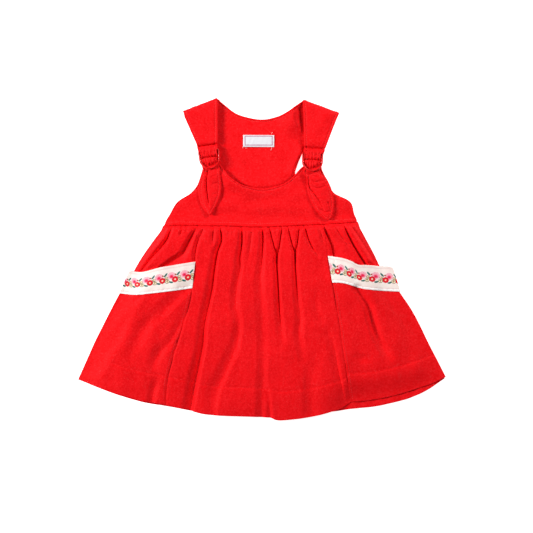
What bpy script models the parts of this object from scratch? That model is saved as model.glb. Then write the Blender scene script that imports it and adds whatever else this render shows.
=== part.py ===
"""A child's gathered pinafore dress, laid flat with its front upwards.

Frame: millimetres in the tables, metres in the meshes. The back lies on z = 0, +Z is up, +Y runs
towards the neck and +X to the viewer's right. Every piece of cloth is an open grid of points along
its middle surface, made solid to WALL, and neighbours stay SEAM apart.
"""

import math

import bmesh
import bpy
from mathutils import Vector

MM = 0.001

# Cloth
WALL = 1.0                 # thickness of every cloth wall
SEAM = 0.3                 # gap between neighbouring pieces
WELD = 0.01                # points of one cloth closer than this are one point
LAYER = WALL + SEAM        # from one layer's middle to the next one's
BACK_Z = WALL / 2          # middle of the back, which rests on the floor
FRONT_Z = BACK_Z + LAYER   # middle of the front where it lies on the back

# D-rings
WIRE = 1.1                 # radius of the ring's wire
RING_HALF = 13.1           # half the width of the ring, and the radius of its arc
RING_TOP = -7.5            # from the foot of the strap's loop to the bars inside it, upwards
RING_SIDE = 4.2            # from the loop's foot down to the middle of the arc
RING_CORNER = 2.5          # rounding between the bar and the sides
RING_LENGTH = RING_SIDE + RING_HALF - RING_TOP
RING_ROOM = 1.2            # between the cloth and each ring where it passes from one to the other
REAR_Z = FRONT_Z + WALL / 2 + SEAM + WIRE
TAIL_Z = REAR_Z + WIRE + RING_ROOM + WALL / 2
FRONT_ARC_Z = TAIL_Z + WALL / 2 + RING_ROOM + WIRE
FRONT_BAR_Z = REAR_Z + 2 * WIRE + SEAM
LOOP_TOP_Z = FRONT_BAR_Z + WIRE + SEAM + WALL / 2 + 0.1
FOOT_BEND = 1.8            # radius of the loop's turn at its foot
FOOT_HALF = 10.1           # half the width of the loop there
# The loop's upper layer, from its foot over the bars to the crease: below, how far down from the
# loop's top, half the width
LOOP_ROWS = [(-3.5, 0.9, 10.5), (-5.8, 0.12, 11.2), (-7.5, 0.0, 11.9), (-8.9, 0.6, 12.3), (-10, 1.9, 12.6),
             (-11.4, 3.3, 12.9), (-13, 4.0, 13.1)]
SWING_START = -5           # below the loop's foot, where its edges begin to swing outwards
SWING_RUN = 5              # over which they do so

# Each buckle: the middle of its loop's foot, the turn about +Z in degrees, its outer side, and how far
# the loop's inner and outer edges swing outwards at the crease
BUCKLES = {
    "left": {"x": -71.2, "y": 139.4, "turn": 9.0, "outer": -1, "swing": (0, 1.1)},
    "right": {"x": 68.1, "y": 135.9, "turn": -2.5, "outer": 1, "swing": (1.5, 3.2)},
}

RED = (0.90, 0.010, 0.013)
CREAM = (0.97, 0.84, 0.77)
WHITE = (0.93, 0.91, 0.90)
GLOSS_RED = (0.80, 0.006, 0.008)

# Outlines of the skirt, x and y along each edge
WAIST = [(-132, 45.5), (-89, 45.6), (-43, 45), (-5, 43.5), (46, 45.5), (88, 47.5), (128, 50)]
SIDE_LEFT = [(-132, 45), (-147.7, 23), (-163, 1), (-172.5, -15.5), (-188, -46), (-211, -86), (-236, -138),
             (-247, -162)]
SIDE_RIGHT = [(128, 50), (138.8, 28.5), (150, 7), (157.5, -9), (176, -44), (209, -101), (247, -159.5)]
SEAM_LEFT = [(-86.5, 45), (-89, 9.5), (-94.5, -43), (-106.5, -90.5), (-122, -140.5), (-127, -162),
             (-129, -196)]
SEAM_RIGHT = [(83.5, 47), (89, 4), (95, -31), (105.5, -99), (115, -160.5), (119.5, -193)]
HEM_FRONT = [(-129, -196.5), (-100, -203), (-78.5, -208.5), (-56.5, -210.5), (11, -213.5), (20, -216.8),
             (31, -216.8), (67.5, -212), (96, -205), (108, -201), (119.5, -193.5)]
HEM_LEFT = [(-248, -162.5), (-225.5, -171), (-196, -181), (-159.5, -191), (-129, -196)]
HEM_RIGHT = [(119.5, -193), (150, -190), (181, -184), (212, -174.5), (232, -167.5), (248, -159)]
HEM_BACK = [(-247, -162.5), (-225.5, -172), (-196, -183), (-159.5, -193.5), (-129.5, -198.5),
            (-78.5, -207), (0, -209.5), (67.5, -208), (96, -206), (119, -202.5), (150, -199.5),
            (181, -193), (200, -187.5), (223, -177), (247, -161)]

# The ribbon bands: top and bottom edges from the side to the vertical seam
BAND_TOP = {
    "left": [(-178, -15.5), (-164.5, -17.5), (-156, -16.5), (-135.5, -11), (-115, -7.5), (-91, -3.2)],
    "right": [(175.5, -12.5), (172, -10), (159, -9.5), (141, -8), (129, -7.5), (119.5, -2.5),
              (107.5, 1.5), (89.5, 4.5)],
}
BAND_FOOT = {
    "left": [(-191.5, -46), (-172.5, -48), (-148, -46), (-123.5, -43), (-94.8, -39)],
    "right": [(185, -43.8), (159, -42.5), (140.5, -40.5), (129.5, -38), (119.5, -35), (107.5, -32),
              (95.5, -31.5)],
}
POCKET_SIDE = {
    "left": [(-191.5, -46), (-201, -63.5), (-212, -85), (-225.5, -112), (-237.5, -139), (-248, -162.5)],
    "right": [(185, -43.8), (201, -69), (212, -90.5), (223, -112), (235, -133.5), (248, -159)],
}
SEAMS = {"left": SEAM_LEFT, "right": SEAM_RIGHT}
SIDES = {"left": SIDE_LEFT, "right": SIDE_RIGHT}
HEMS = {"left": HEM_LEFT, "right": HEM_RIGHT}

# Folds of the gathered centre panel that run from waist to hem. Each has x, and the depth below the
# puffs beside it, at the five levels, and how far its slopes reach to the left and to the right.
LEVELS = (0.0, 0.17, 0.45, 0.68, 1.0)
LEVEL_Y = (45, 2, -71, -130, -211)
LONG_FOLDS = [
    # name, x at each level, depth at each level, reach left, reach right
    ("first", (-56, -60, -73, -82.5, -97), (6.0, 7.5, 7.0, 6.5, 5.0), 15, 4),
    ("second", (-27, -30, -37, -44, -65), (6.0, 6.5, 4.5, 4.0, 3.0), 14, 6),
    ("middle", (0, 0.5, -2.5, -3, 0), (6.0, 7.0, 3.0, 3.0, 4.0), 7, 7),
    ("fourth", (19, 20, 24, 28, 21), (6.0, 7.5, 6.0, 3.5, 2.5), 5, 5),
    ("fifth", (43, 44.5, 50, 56, 51), (6.0, 6.0, 6.0, 4.0, 2.5), 12, 4),
    ("last", (67.5, 70, 75, 100, 109), (3.0, 2.0, 2.5, 6.0, 4.5), 5, 6),
]
# Shorter folds: x and y at the top, the middle and the foot, depth there, and reach to each side
SHORT_FOLDS = [
    # name, top, middle, foot, (top, middle, foot) depth, reach left, reach right
    ("waist_a", (-74, 43), (-67, 30), (-72, 15), (5, 4, 0), 5, 5),
    ("waist_b", (-43, 44), (-43.5, 32), (-44, 22), (5, 4, 0), 5, 5),
    ("waist_c", (-13, 43), (-15, 20), (-18, -10), (5, 2.5, 0), 5, 5),
    ("waist_d", (9.5, 43), (12, 26), (19, 10), (6, 5, 0), 4, 4),
    ("waist_e", (27, 43), (26, 26), (21, 8), (6, 5.5, 0), 4, 4),
    ("waist_f", (35, 44), (40, 26), (44, 10), (5, 4.5, 0), 4, 4),
    ("waist_g", (51, 44), (47, 26), (44.5, 10), (5, 4, 0), 4, 4),
    ("waist_h", (58, 45), (66, 20), (78, 2), (6, 5, 0), 5, 5),
    ("left_a", (-121, 44), (-134, 20), (-162, -17), (5, 7, 6), 8, 5),
    ("left_b", (-109, 44), (-128, 22), (-146, -8), (3, 2, 1), 6, 6),
    ("left_c", (-91, 43), (-105, 14), (-132, -12), (6, 7, 6.5), 9, 6),
    ("left_d", (-79, 43), (-88, 22), (-92, -6), (4, 2.5, 2), 6, 5),
    ("right_a", (110, 47), (122, 22), (141, -9), (5, 7, 7), 6, 5),
    ("right_b", (83, 46), (91, 24), (95, 0), (6, 7, 5), 5, 14),
    ("right_c", (119, 48), (134, 24), (151, -6), (4, 3.5, 3.5), 6, 8),
    ("right_d", (98, 46), (108, 24), (121, 4), (3, 2, 1.5), 6, 6),
    ("pocket_a", (-112, -41), (-140, -80), (-176, -128), (2.5, 2.5, 0), 14, 12),
    ("pocket_b", (-160, -50), (-184, -90), (-226, -150), (2, 2.5, 0), 14, 12),
    ("pocket_c", (-107, -82), (-128, -118), (-146, -150), (1.5, 4, 0), 12, 9),
    ("pocket_d", (-128, -130), (-142, -165), (-149, -194), (0, 2.5, 2.5), 9, 9),
    ("pocket_e", (126, -38), (148, -92), (178, -136), (4, 5, 0), 13, 13),
    ("pocket_f", (160, -43), (181, -68), (200, -96), (2.5, 4, 0), 11, 11),
]
PUFF = 8.0                 # how far the gathers stand above the lowest front layer
PUFF_NEAR_HEM = 6.5
EDGE_REACH = 14            # over which the front rises from the side seams
WAIST_REACH = 13           # over which the gathers swell below the waist seam
WAIST_RISE = 0.8           # the front's rise over the back along the waist seam
FOLD_FLOOR = 1.5           # how far the deepest folds stay above the lowest front layer
BAND_ROWS = 3              # steps from a ribbon's top edge to its foot
BAND_LIFT = LAYER + 0.3    # from a pocket's middle to its ribbon's
BAND_RISE = 2.0            # how far a pocket's mouth gapes in its middle
MOUTH_RISE = 0.9           # and beside the vertical seam
UNDER_START = 14           # above the pocket's mouth, where the skirt behind it begins to lie down
UNDER_DROP = 24            # over which it does so

# The bodice back runs as one strip from strap end to strap end. Rows go from the stitched crease over
# the shoulder to the middle of the neck. "inner" is the neck side, "outer" the armhole side.
STRAP_FRONT = {
    # (inner x, inner y), (outer x, outer y), z
    "left": [((-59.8, 158), (-86, 154), 4.9), ((-59.5, 170), (-91.5, 162.5), 5.4),
             ((-59.5, 188), (-98.5, 178.5), 5.8), ((-59.8, 204), (-103.8, 190.5), 6.3)],
    "right": [((57, 153.5), (86, 151), 4.9), ((56.7, 165), (90.6, 163), 5.4),
              ((56.3, 184), (96.6, 178.5), 5.8), ((55.8, 202), (101, 189.5), 6.3)],
}
SHOULDER = {"left": ((-61, 217.2), (-106.6, 199.4)), "right": ((56.3, 214.8), (103.2, 196.4))}
SHOULDER_RADIUS = 2.9
NECK_SLIDE = 2.45          # how far a strap's neck end slides along its fold, down the back
BACK_ROWS = {
    # (inner x, inner y), (outer x, outer y)
    "left": [((-57, 213.5), (-104.5, 192)), ((-48.5, 206.5), (-95, 177)), ((-42, 201), (-79, 160)),
             ((-34, 196), (-66, 146)), ((-26, 193), (-62, 131))],
    "right": [((52, 211.5), (100.5, 189.5)), ((44.5, 206), (91, 175)), ((38, 201), (74, 159)),
              ((29.5, 196), (57, 146)), ((23, 193), (49.3, 131))],
}
NECK_BACK = [(-26, 193), (-16, 190.5), (-8, 189), (0, 188.6), (7, 189), (14, 190.5), (23, 193)]
# Below that, the back's own sides: x at each height, down both armholes and side seams
BACK_SIDES = [
    # y, left x, right x
    (131, -62, 49.3), (124, -62.3, 47), (117, -63.5, 44.8), (108, -66, 46.5), (100, -70, 50.5),
    (92, -76.5, 57), (85.5, -85, 69), (80, -98, 90), (75.8, -113.5, 118.5), (68, -119.5, 122),
    (61, -124, 124.5), (53, -129, 128),
]
# The bodice front runs as one strip from tail tip to tail tip. Rows go from the tip up to the ring.
TAIL_ROWS = {
    # (inner x, inner y), (outer x, outer y)
    "left": [((-69.4, 59.8), (-70.6, 59.8)), ((-65.5, 65), (-75.5, 64)), ((-60.5, 74), (-81, 72.5)),
             ((-57, 83), (-84.5, 83)), ((-55, 93), (-85.5, 91.5)), ((-54.8, 104), (-84, 104)),
             ((-56, 114), (-81, 114))],
    "right": [((89.4, 53.2), (90.8, 53.2)), ((84, 55), (93.7, 56)), ((77, 60.5), (96, 62.5)),
              ((70.5, 69), (97, 73)), ((65.5, 79), (96.8, 82)), ((61.8, 90), (94.8, 90.5)),
              ((60.4, 100), (91.5, 99.5)), ((59.6, 110), (85, 111))],
}
BODICE_ROWS = {
    "left": [((-57, 126), (-80.5, 120)), ((-52.5, 120), (-83.5, 110)), ((-45, 113.5), (-88, 98.5)),
             ((-36, 107), (-97.2, 88)), ((-30, 103), (-114.4, 76.5))],
    "right": [((57, 122.5), (80.5, 116)), ((52.5, 120.5), (86, 108)), ((45, 115.5), (91, 98.5)),
              ((36.5, 107.5), (98.5, 88)), ((31, 103.5), (119.5, 76.5))],
}
NECK_FRONT = [(-28.5, 101.8), (-20.5, 98), (-10, 95.3), (0.5, 94.5), (11, 95.3), (21, 98), (29, 102.2)]
WAIST_ROWS = 14            # steps along the waist of each bodice piece
BODICE_SIDE = {"left": (-124, 61), "right": (124.5, 61)}
EAR_HALF = 10.4            # half the width of the front's ear where it passes the rings
# The ear's fold through the rings: distance below the loop, and how far from the lower to the upper layer
EAR_FOLD = [(15, 0.0), (9, 0.0), (6, 0.04), (4.6, 0.25), (4.1, 0.5), (4.5, 0.76), (6, 0.96), (8.5, 1.0),
            (11.5, 1.0), (14.5, 1.0), (17.5, 1.0), (20.5, 1.0)]
TAIL_PUFF = 3.0            # rise of the fold inside the rings
TAIL_CROWN = 1.4           # rise of each tail's middle over its edges
TAIL_TIP_DROP = 1.3

LABEL = {"left": -25.5, "right": 16.5, "top": 168, "foot": 151, "turn": -0.4}


def srgb_material(name, colour, roughness, metallic=0.0):
    material = bpy.data.materials.new(name)
    material.use_nodes = True
    shader = material.node_tree.nodes["Principled BSDF"]
    shader.inputs["Base Color"].default_value = (*colour, 1.0)
    shader.inputs["Roughness"].default_value = roughness
    shader.inputs["Metallic"].default_value = metallic
    return material


def ease(value):
    """0 below 0, 1 above 1, and a smooth step between."""
    value = min(max(value, 0.0), 1.0)
    return value * value * (3 - 2 * value)


def mix(a, b, share):
    return a + (b - a) * share


def along(points, share):
    """The point at a share of a smooth curve through points, by its length along the chords."""
    points = [Vector(p) for p in points]
    runs = [(b - a).length for a, b in zip(points, points[1:])]
    target = share * sum(runs)
    index = 0
    while index < len(runs) - 1 and target > runs[index]:
        target -= runs[index]
        index += 1
    step = min(max(target / runs[index], 0.0), 1.0)
    a, b = points[index], points[index + 1]
    before = points[index - 1] if index else a - (b - a)
    after = points[index + 2] if index + 2 < len(points) else b + (b - a)
    run = runs[index]
    slope_a = (b - before) * (run / max((a - before).length + run, 1e-6))
    slope_b = (after - a) * (run / max((after - b).length + run, 1e-6))
    s2, s3 = step * step, step ** 3
    return (a * (2 * s3 - 3 * s2 + 1) + slope_a * (s3 - 2 * s2 + step)
            + b * (3 * s2 - 2 * s3) + slope_b * (s3 - s2))


def height_of(points, x):
    """y of a left-to-right edge at x, straight between its points."""
    for (xa, ya), (xb, yb) in zip(points, points[1:]):
        if x <= xb:
            return mix(ya, yb, (x - xa) / (xb - xa))
    return points[-1][1]


def across_at(points, y):
    """x of a top-to-bottom edge at y, straight between its points."""
    if y >= points[0][1]:
        return points[0][0]
    for (xa, ya), (xb, yb) in zip(points, points[1:]):
        if y >= yb:
            return mix(xa, xb, (y - ya) / (yb - ya))
    return points[-1][0]


def shares(count, crowd=0.0):
    """count + 1 shares from 0 to 1, crowded towards both ends by crowd."""
    return [k / count - crowd * math.sin(2 * math.pi * k / count) / (2 * math.pi)
            for k in range(count + 1)]


def cloth(name, grids, material):
    """A wall of cloth from one or more grids of points along its middle surface."""
    shape = bmesh.new()
    for rows in grids:
        lines = [[shape.verts.new(Vector(p) * MM) for p in line] for line in rows]
        for line, after in zip(lines, lines[1:]):
            for k in range(len(line) - 1):
                shape.faces.new((line[k], after[k], after[k + 1], line[k + 1]))
    bmesh.ops.remove_doubles(shape, verts=shape.verts[:], dist=WELD * MM)
    mesh = bpy.data.meshes.new(name)
    shape.to_mesh(mesh)
    shape.free()
    mesh.materials.append(material)
    mesh.shade_smooth()
    piece = bpy.data.objects.new(name, mesh)
    wall = piece.modifiers.new("wall", "SOLIDIFY")
    wall.thickness = WALL * MM
    wall.offset = 0.0
    DRESS.objects.link(piece)
    return piece


def moved_out(rows, distance):
    """The same grid of points, moved along its own normals."""
    count, width = len(rows), len(rows[0])
    out = []
    for i in range(count):
        line = []
        for j in range(width):
            down = Vector(rows[min(i + 1, count - 1)][j]) - Vector(rows[max(i - 1, 0)][j])
            side = Vector(rows[i][min(j + 1, width - 1)]) - Vector(rows[i][max(j - 1, 0)])
            normal = down.cross(side).normalized()
            if normal.z < 0:
                normal.negate()
            line.append(Vector(rows[i][j]) + normal * distance)
        out.append(line)
    return out


# Skirt

def fold_depth(x, y):
    """How far all the folds together take the gathers down at a point."""
    total = 0.0
    for _, xs, depths, left, right in LONG_FOLDS:
        spine = list(zip(xs, LEVEL_Y))
        deep = across_at(list(zip(depths, LEVEL_Y)), y)
        away = x - across_at(spine, y)
        reach = left if away < 0 else right
        total += deep * 0.5 * (1 + math.cos(math.pi * min(abs(away) / reach, 1)))
    for _, top, middle, foot, depths, left, right in SHORT_FOLDS:
        if foot[1] - 12 < y < top[1] + 12:
            deep = across_at(list(zip(depths, (top[1], middle[1], foot[1]))), y)
            fade = ease((y - foot[1] + 12) / 12) * ease((top[1] + 12 - y) / 12)
            away = x - across_at([top, middle, foot], y)
            reach = left if away < 0 else right
            total += deep * fade * 0.5 * (1 + math.cos(math.pi * min(abs(away) / reach, 1)))
    return total


def front_height(x, y, side_floor=0.0):
    """Middle of the skirt's upper layer at a point. side_floor is its rise along the side seams."""
    from_side = min(x - across_at(SIDE_LEFT, y), across_at(SIDE_RIGHT, y) - x)
    from_waist = height_of(WAIST, x) - y
    edge = ease(from_side / EDGE_REACH)
    swell = ease(from_waist / WAIST_REACH)
    puff = mix(PUFF, PUFF_NEAR_HEM, ease((from_waist - 60) / 150)) * swell
    gathered = max(puff - fold_depth(x, y) * mix(0.35, 1.0, swell), 0.0)
    return FRONT_Z + mix(side_floor, mix(WAIST_RISE, FOLD_FLOOR, swell) + gathered, edge)


def pocket_height(x, y, side, band_foot):
    """Middle of a pocket panel: the front's height, standing off at its mouth away from the seam."""
    from_seam = abs(x - across_at(SEAMS[side], y))
    rise = mix(MOUTH_RISE, BAND_RISE, ease(from_seam / 15)) * (1 - ease((band_foot - y) / 50))
    return front_height(x, y, FOLD_FLOOR) + rise


def side_height(x, y, mouth):
    """Middle of a side panel: gathered above the pocket's mouth, lying down behind the pocket."""
    return mix(front_height(x, y), FRONT_Z, ease((mouth + UNDER_START - y) / UNDER_DROP))


def skirt_front():
    counts = (5, 5, 5, 4, 4, 5, 3)
    guides = [[along(SEAM_LEFT, v).x + SEAM for v in LEVELS]]
    guides += [list(xs) for _, xs, *_ in LONG_FOLDS]
    guides += [[along(SEAM_RIGHT, v).x - SEAM for v in LEVELS]]
    columns = []
    for left, right, count in zip(guides, guides[1:], counts):
        for share in shares(count, 0.35)[:-1]:
            columns.append([mix(a, b, share) for a, b in zip(left, right)])
    columns.append(guides[-1])
    levels = shares(15, 0.2)
    rows = []
    for v in levels:
        line = []
        for k, column in enumerate(columns):
            y = mix(height_of(WAIST, column[0]) - SEAM, height_of(HEM_FRONT, column[-1]), v)
            if k == 0:
                x = across_at(SEAM_LEFT, y) + SEAM
            elif k == len(columns) - 1:
                x = across_at(SEAM_RIGHT, y) - SEAM
            else:
                x = across_at(list(zip(column, [-level for level in LEVELS])), -v)
            line.append((x, y, front_height(x, y)))
        rows.append(line)
    return cloth("skirt_front", [rows], CLOTH)


def skirt_side(side):
    seam, edge, mouth = SEAMS[side], SIDES[side], BAND_TOP[side]
    outer = -1 if side == "left" else 1
    mouth_line = mouth if side == "left" else mouth[::-1]
    rows = []
    for v in (0, 0.03, 0.07, 0.12, 0.17, 0.22, 0.27, 0.33, 0.42, 0.55, 0.7, 0.85, 1):
        inner_edge = along(seam, v)
        outer_edge = along(edge, v)
        line = []
        for u in shares(13):
            x = mix(outer_edge.x - outer * SEAM, inner_edge.x + outer * SEAM, u)
            y = mix(outer_edge.y, inner_edge.y + 2 * ease(v), u)
            if v == 0:
                y = height_of(WAIST, x) - SEAM
            line.append((x, y, side_height(x, y, height_of(mouth_line, x))))
        rows.append(line if side == "left" else line[::-1])
    return cloth("skirt_side_" + side, [rows], CLOTH)


def pocket_rows(side):
    """Rows from the pocket's mouth to the hem. The first BAND_ROWS + 1 are the ribbon's."""
    seam, edge, foot, hem = SEAMS[side], POCKET_SIDE[side], BAND_FOOT[side], HEMS[side]
    outer = -1 if side == "left" else 1
    hem_line = hem if side == "left" else hem[::-1]
    foot_line = foot if side == "left" else foot[::-1]
    band_levels = shares(BAND_ROWS)
    skirt_levels = (0.07, 0.16, 0.28, 0.4, 0.52, 0.64, 0.76, 0.88, 1)
    rows = []
    for v in band_levels:
        line = []
        for u in shares(16):
            point = along(BAND_TOP[side], u).lerp(along(foot, u), v)
            line.append((point.x, point.y))
        rows.append(line)
    for v in skirt_levels:
        line = []
        for u in shares(16):
            top = along(foot, u)
            low = along(hem_line, u)
            y = mix(top.y, low.y, v)
            start, end = along(foot, 0), along(foot, 1)
            edge_x = across_at(edge, mix(start.y, hem_line[0][1], v))
            seam_x = across_at(seam, mix(end.y, hem_line[-1][1], v)) + outer * SEAM
            line.append((mix(edge_x, seam_x, u), y))
        rows.append(line)
    raised = []
    for line in rows:
        raised.append([(x, y, pocket_height(x, y, side, height_of(foot_line, x))) for x, y in line])
    return raised if side == "left" else [line[::-1] for line in raised]


def pocket(side):
    rows = pocket_rows(side)
    cloth("pocket_" + side, [rows], CLOTH)
    band = moved_out(rows[:BAND_ROWS + 2], BAND_LIFT)[:BAND_ROWS + 1]
    cloth("band_" + side, [band], RIBBON)


def skirt_back():
    rows = []
    for v in shares(12):
        left, right = along(SIDE_LEFT, v), along(SIDE_RIGHT, v)
        line = []
        for u in shares(30):
            x = mix(left.x, right.x, u)
            if v == 0:
                y = height_of(WAIST, x) - SEAM
            else:
                top = height_of(WAIST, mix(WAIST[0][0], WAIST[-1][0], u))
                y = mix(top - SEAM, height_of(HEM_BACK, mix(HEM_BACK[0][0], HEM_BACK[-1][0], u)), v)
            line.append((x, y, BACK_Z))
        rows.append(line)
    return cloth("skirt_back", [rows], CLOTH)


# Bodice

def in_buckle(side, across, below, z):
    """A point given across (towards the outer side) and below a buckle's loop."""
    buckle = BUCKLES[side]
    turn = math.radians(buckle["turn"])
    p = across * buckle["outer"]
    return Vector((buckle["x"] + p * math.cos(turn) + below * math.sin(turn),
                   buckle["y"] + p * math.sin(turn) - below * math.cos(turn), z))


def from_buckle(side, x, y):
    """Across and below a buckle's loop, of a point."""
    buckle = BUCKLES[side]
    turn = math.radians(buckle["turn"])
    dx, dy = x - buckle["x"], y - buckle["y"]
    return dx * math.cos(turn) + dy * math.sin(turn), dx * math.sin(turn) - dy * math.cos(turn)


def tail_height(side, x, y, crown):
    """Middle of the ear's upper layer: puffed inside the rings, and lying on the bodice below."""
    across, below = from_buckle(side, x, y)
    inside = RING_HALF - math.hypot(across, max(below - RING_SIDE, 0))
    puff = TAIL_PUFF * ease((inside - 2.6) / 5)
    past = ease((-inside - 2.6) / 10)
    drop = TAIL_TIP_DROP * ease((-inside - 2.6) / 25)
    return TAIL_Z + puff - drop + TAIL_CROWN * crown * past


def body_height(x, y):
    """Middle of the bodice front where it lies on the back."""
    from_side = min(x + 130, 127 - x)
    return FRONT_Z + WAIST_RISE * ease((100 - y) / 50) * ease(from_side / 15)


def strap_rows(side):
    """Inner and outer points of a strap from its hidden end round the bars to the stitched crease."""
    rows = []
    loop = [(-12.4, FRONT_Z + 0.9, 12.8), (-8, FRONT_Z, 11.7), (0, FRONT_Z, FOOT_HALF)]
    for step in range(1, 7):
        angle = math.radians(30 * step)
        loop.append((FOOT_BEND * math.sin(angle), FRONT_Z + FOOT_BEND * (1 - math.cos(angle)), FOOT_HALF))
    loop += [(below, LOOP_TOP_Z - lower, half) for below, lower, half in LOOP_ROWS]
    inner, outer = BUCKLES[side]["swing"]
    for below, z, half in loop:
        swing = ease((SWING_START - below) / SWING_RUN)
        rows.append(row(in_buckle(side, inner * swing - half, below, z),
                        in_buckle(side, outer * swing + half, below, z)))
    return rows


def row(inner, outer):
    """One row of a bodice strip: its neck end and its armhole end."""
    return Vector(inner), Vector(outer)


def row_points(strip_row, count):
    """Points from a row's inner end to its outer end."""
    return [strip_row[0].lerp(strip_row[1], t) for t in shares(count)]


def shoulder_rows(side):
    """The strap's half turn over the shoulder, from the front layer down to the back layer."""
    (ix, iy), (ox, oy) = SHOULDER[side]
    inner, outer = Vector((ix, iy, 0)), Vector((ox, oy, 0))
    line = (outer - inner).normalized()
    away = Vector((-line.y, line.x, 0))
    if away.y < 0:
        away.negate()
    middle_z = BACK_Z + SHOULDER_RADIUS
    rows = []
    for step in range(0, 7):
        angle = math.radians(90 - 30 * step)
        shift = away * (SHOULDER_RADIUS * (math.cos(angle) - 1) - WALL / 2)
        slide = line * (NECK_SLIDE * (math.cos(angle) - 1)) if angle < 0 else Vector()
        z = Vector((0, 0, middle_z + SHOULDER_RADIUS * math.sin(angle)))
        rows.append(row(inner + shift + slide + z, outer + shift + z))
    return rows


def half_back(side):
    """Rows of the back from a strap's end to the level of the armholes' deepest points."""
    rows = strap_rows(side)
    rows += [row((*inner, z), (*outer, z)) for inner, outer, z in STRAP_FRONT[side]]
    rows += shoulder_rows(side)
    rows += [row((*inner, BACK_Z), (*outer, BACK_Z)) for inner, outer in BACK_ROWS[side]]
    return rows


def bodice_back():
    """Both straps and the neck as one strip, and the body of the back hung from its middle rows."""
    left, right = half_back("left"), half_back("right")
    level, left_x, right_x = BACK_SIDES[0]
    middle = []
    for u in shares(WAIST_ROWS)[1:-1]:
        middle.append(row((*along(NECK_BACK, u), BACK_Z), (mix(left_x, right_x, u), level, BACK_Z)))
    strip = [row_points(strip_row, 7) for strip_row in left + middle + right[::-1]]
    body = []
    for u in shares(WAIST_ROWS):
        line = [(mix(a, b, u), y, BACK_Z) for y, a, b in BACK_SIDES]
        foot = mix(WAIST[0][0], WAIST[-1][0], u)
        line.append((foot, height_of(WAIST, foot) + SEAM, BACK_Z))
        body.append(line)
    return cloth("bodice_back", [strip, body], CLOTH)


def waist_ends(neck):
    """Plan points of the front's rows that end at the side seams and the waist: neck end and foot."""
    count = WAIST_ROWS + 2
    feet = [BODICE_SIDE["left"]]
    for k in range(WAIST_ROWS + 1):
        x = mix(WAIST[0][0], WAIST[-1][0], k / WAIST_ROWS)
        feet.append((x, height_of(WAIST, x) + SEAM))
    feet.append(BODICE_SIDE["right"])
    return [(tuple(along(neck, k / count)), foot) for k, foot in enumerate(feet)]


def half_front(side):
    """Rows of the front from a tail's tip, through the rings, to the top of the side seam.

    Here z is the share from the lower layer, 0, to the upper layer, 1.
    """
    rows = [row((*inner, 1.0), (*outer, 1.0)) for inner, outer in TAIL_ROWS[side]]
    rows += [row(in_buckle(side, -EAR_HALF, below, lift), in_buckle(side, EAR_HALF, below, lift))
             for below, lift in EAR_FOLD[::-1]]
    rows += [row((*inner, 0.0), (*outer, 0.0)) for inner, outer in BODICE_ROWS[side]]
    return rows


def bodice_front():
    middle = [row((*neck, 0.0), (*foot, 0.0)) for neck, foot in waist_ends(NECK_FRONT)]
    strip = half_front("left") + middle + half_front("right")[::-1]
    grid = []
    for k, strip_row in enumerate(strip):
        side = "left" if k < len(strip) / 2 else "right"
        line = row_points(strip_row, 7)
        for point, t in zip(line, shares(7)):
            upper = tail_height(side, point.x, point.y, 4 * t * (1 - t))
            point.z = mix(body_height(point.x, point.y), upper, point.z)
        grid.append(line)
    return cloth("bodice_front", [grid], CLOTH)


def dring(side, which):
    """One D-ring: a bar, two short sides and a half-round arc, of bent wire."""
    bar_z, arc_z = (REAR_Z, REAR_Z) if which == "rear" else (FRONT_BAR_Z, FRONT_ARC_Z)
    bar = RING_HALF - RING_CORNER
    outline = [(x, RING_TOP) for x in (-bar, -bar / 3, bar / 3, bar)]
    corner = RING_CORNER * (1 - math.cos(math.radians(45)))
    outline += [(RING_HALF - corner, RING_TOP + corner), (RING_HALF, RING_TOP + RING_CORNER)]
    for step in range(0, 13):
        angle = math.radians(15 * step)
        outline.append((RING_HALF * math.cos(angle), RING_SIDE + RING_HALF * math.sin(angle)))
    outline += [(-RING_HALF, RING_TOP + RING_CORNER), (-RING_HALF + corner, RING_TOP + corner)]
    curve = bpy.data.curves.new(f"dring_{side}_{which}", "CURVE")
    curve.dimensions = "3D"
    curve.bevel_depth = WIRE * MM
    curve.bevel_resolution = 1
    path = curve.splines.new("POLY")
    path.points.add(len(outline) - 1)
    path.use_cyclic_u = True
    for spot, (across, below) in zip(path.points, outline):
        z = mix(bar_z, arc_z, (below - RING_TOP) / RING_LENGTH)
        spot.co = (*(in_buckle(side, across, below, z) * MM), 1.0)
    curve.materials.append(RING_RED)
    ring = bpy.data.objects.new(f"dring_{side}_{which}", curve)
    DRESS.objects.link(ring)
    return ring


def label():
    """The blank label, lying on the inside of the back."""
    turn = math.radians(LABEL["turn"])
    middle_x = (LABEL["left"] + LABEL["right"]) / 2
    rows = []
    for v in shares(3):
        line = []
        for u in shares(8):
            x = mix(LABEL["left"], LABEL["right"], u)
            y = mix(LABEL["top"], LABEL["foot"], v) + (x - middle_x) * math.sin(turn)
            line.append((x, y, BACK_Z))
        rows.append(line)
    return cloth("label", [moved_out(rows, LAYER)], LABEL_WHITE)


for old in list(bpy.data.objects):
    bpy.data.objects.remove(old, do_unlink=True)
DRESS = bpy.data.collections.new("pinafore_dress")
bpy.context.scene.collection.children.link(DRESS)

CLOTH = srgb_material("red_cotton", RED, 0.85)
RIBBON = srgb_material("woven_ribbon", CREAM, 0.7)
LABEL_WHITE = srgb_material("label_satin", WHITE, 0.55)
RING_RED = srgb_material("red_enamel", GLOSS_RED, 0.2)

bodice_back()
bodice_front()
for buckle_side in ("left", "right"):
    for ring_place in ("rear", "front"):
        dring(buckle_side, ring_place)
    skirt_side(buckle_side)
    pocket(buckle_side)
skirt_front()
skirt_back()
label()
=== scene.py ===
import math

import bpy
import numpy as np
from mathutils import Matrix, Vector
from mathutils.bvhtree import BVHTree


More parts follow.
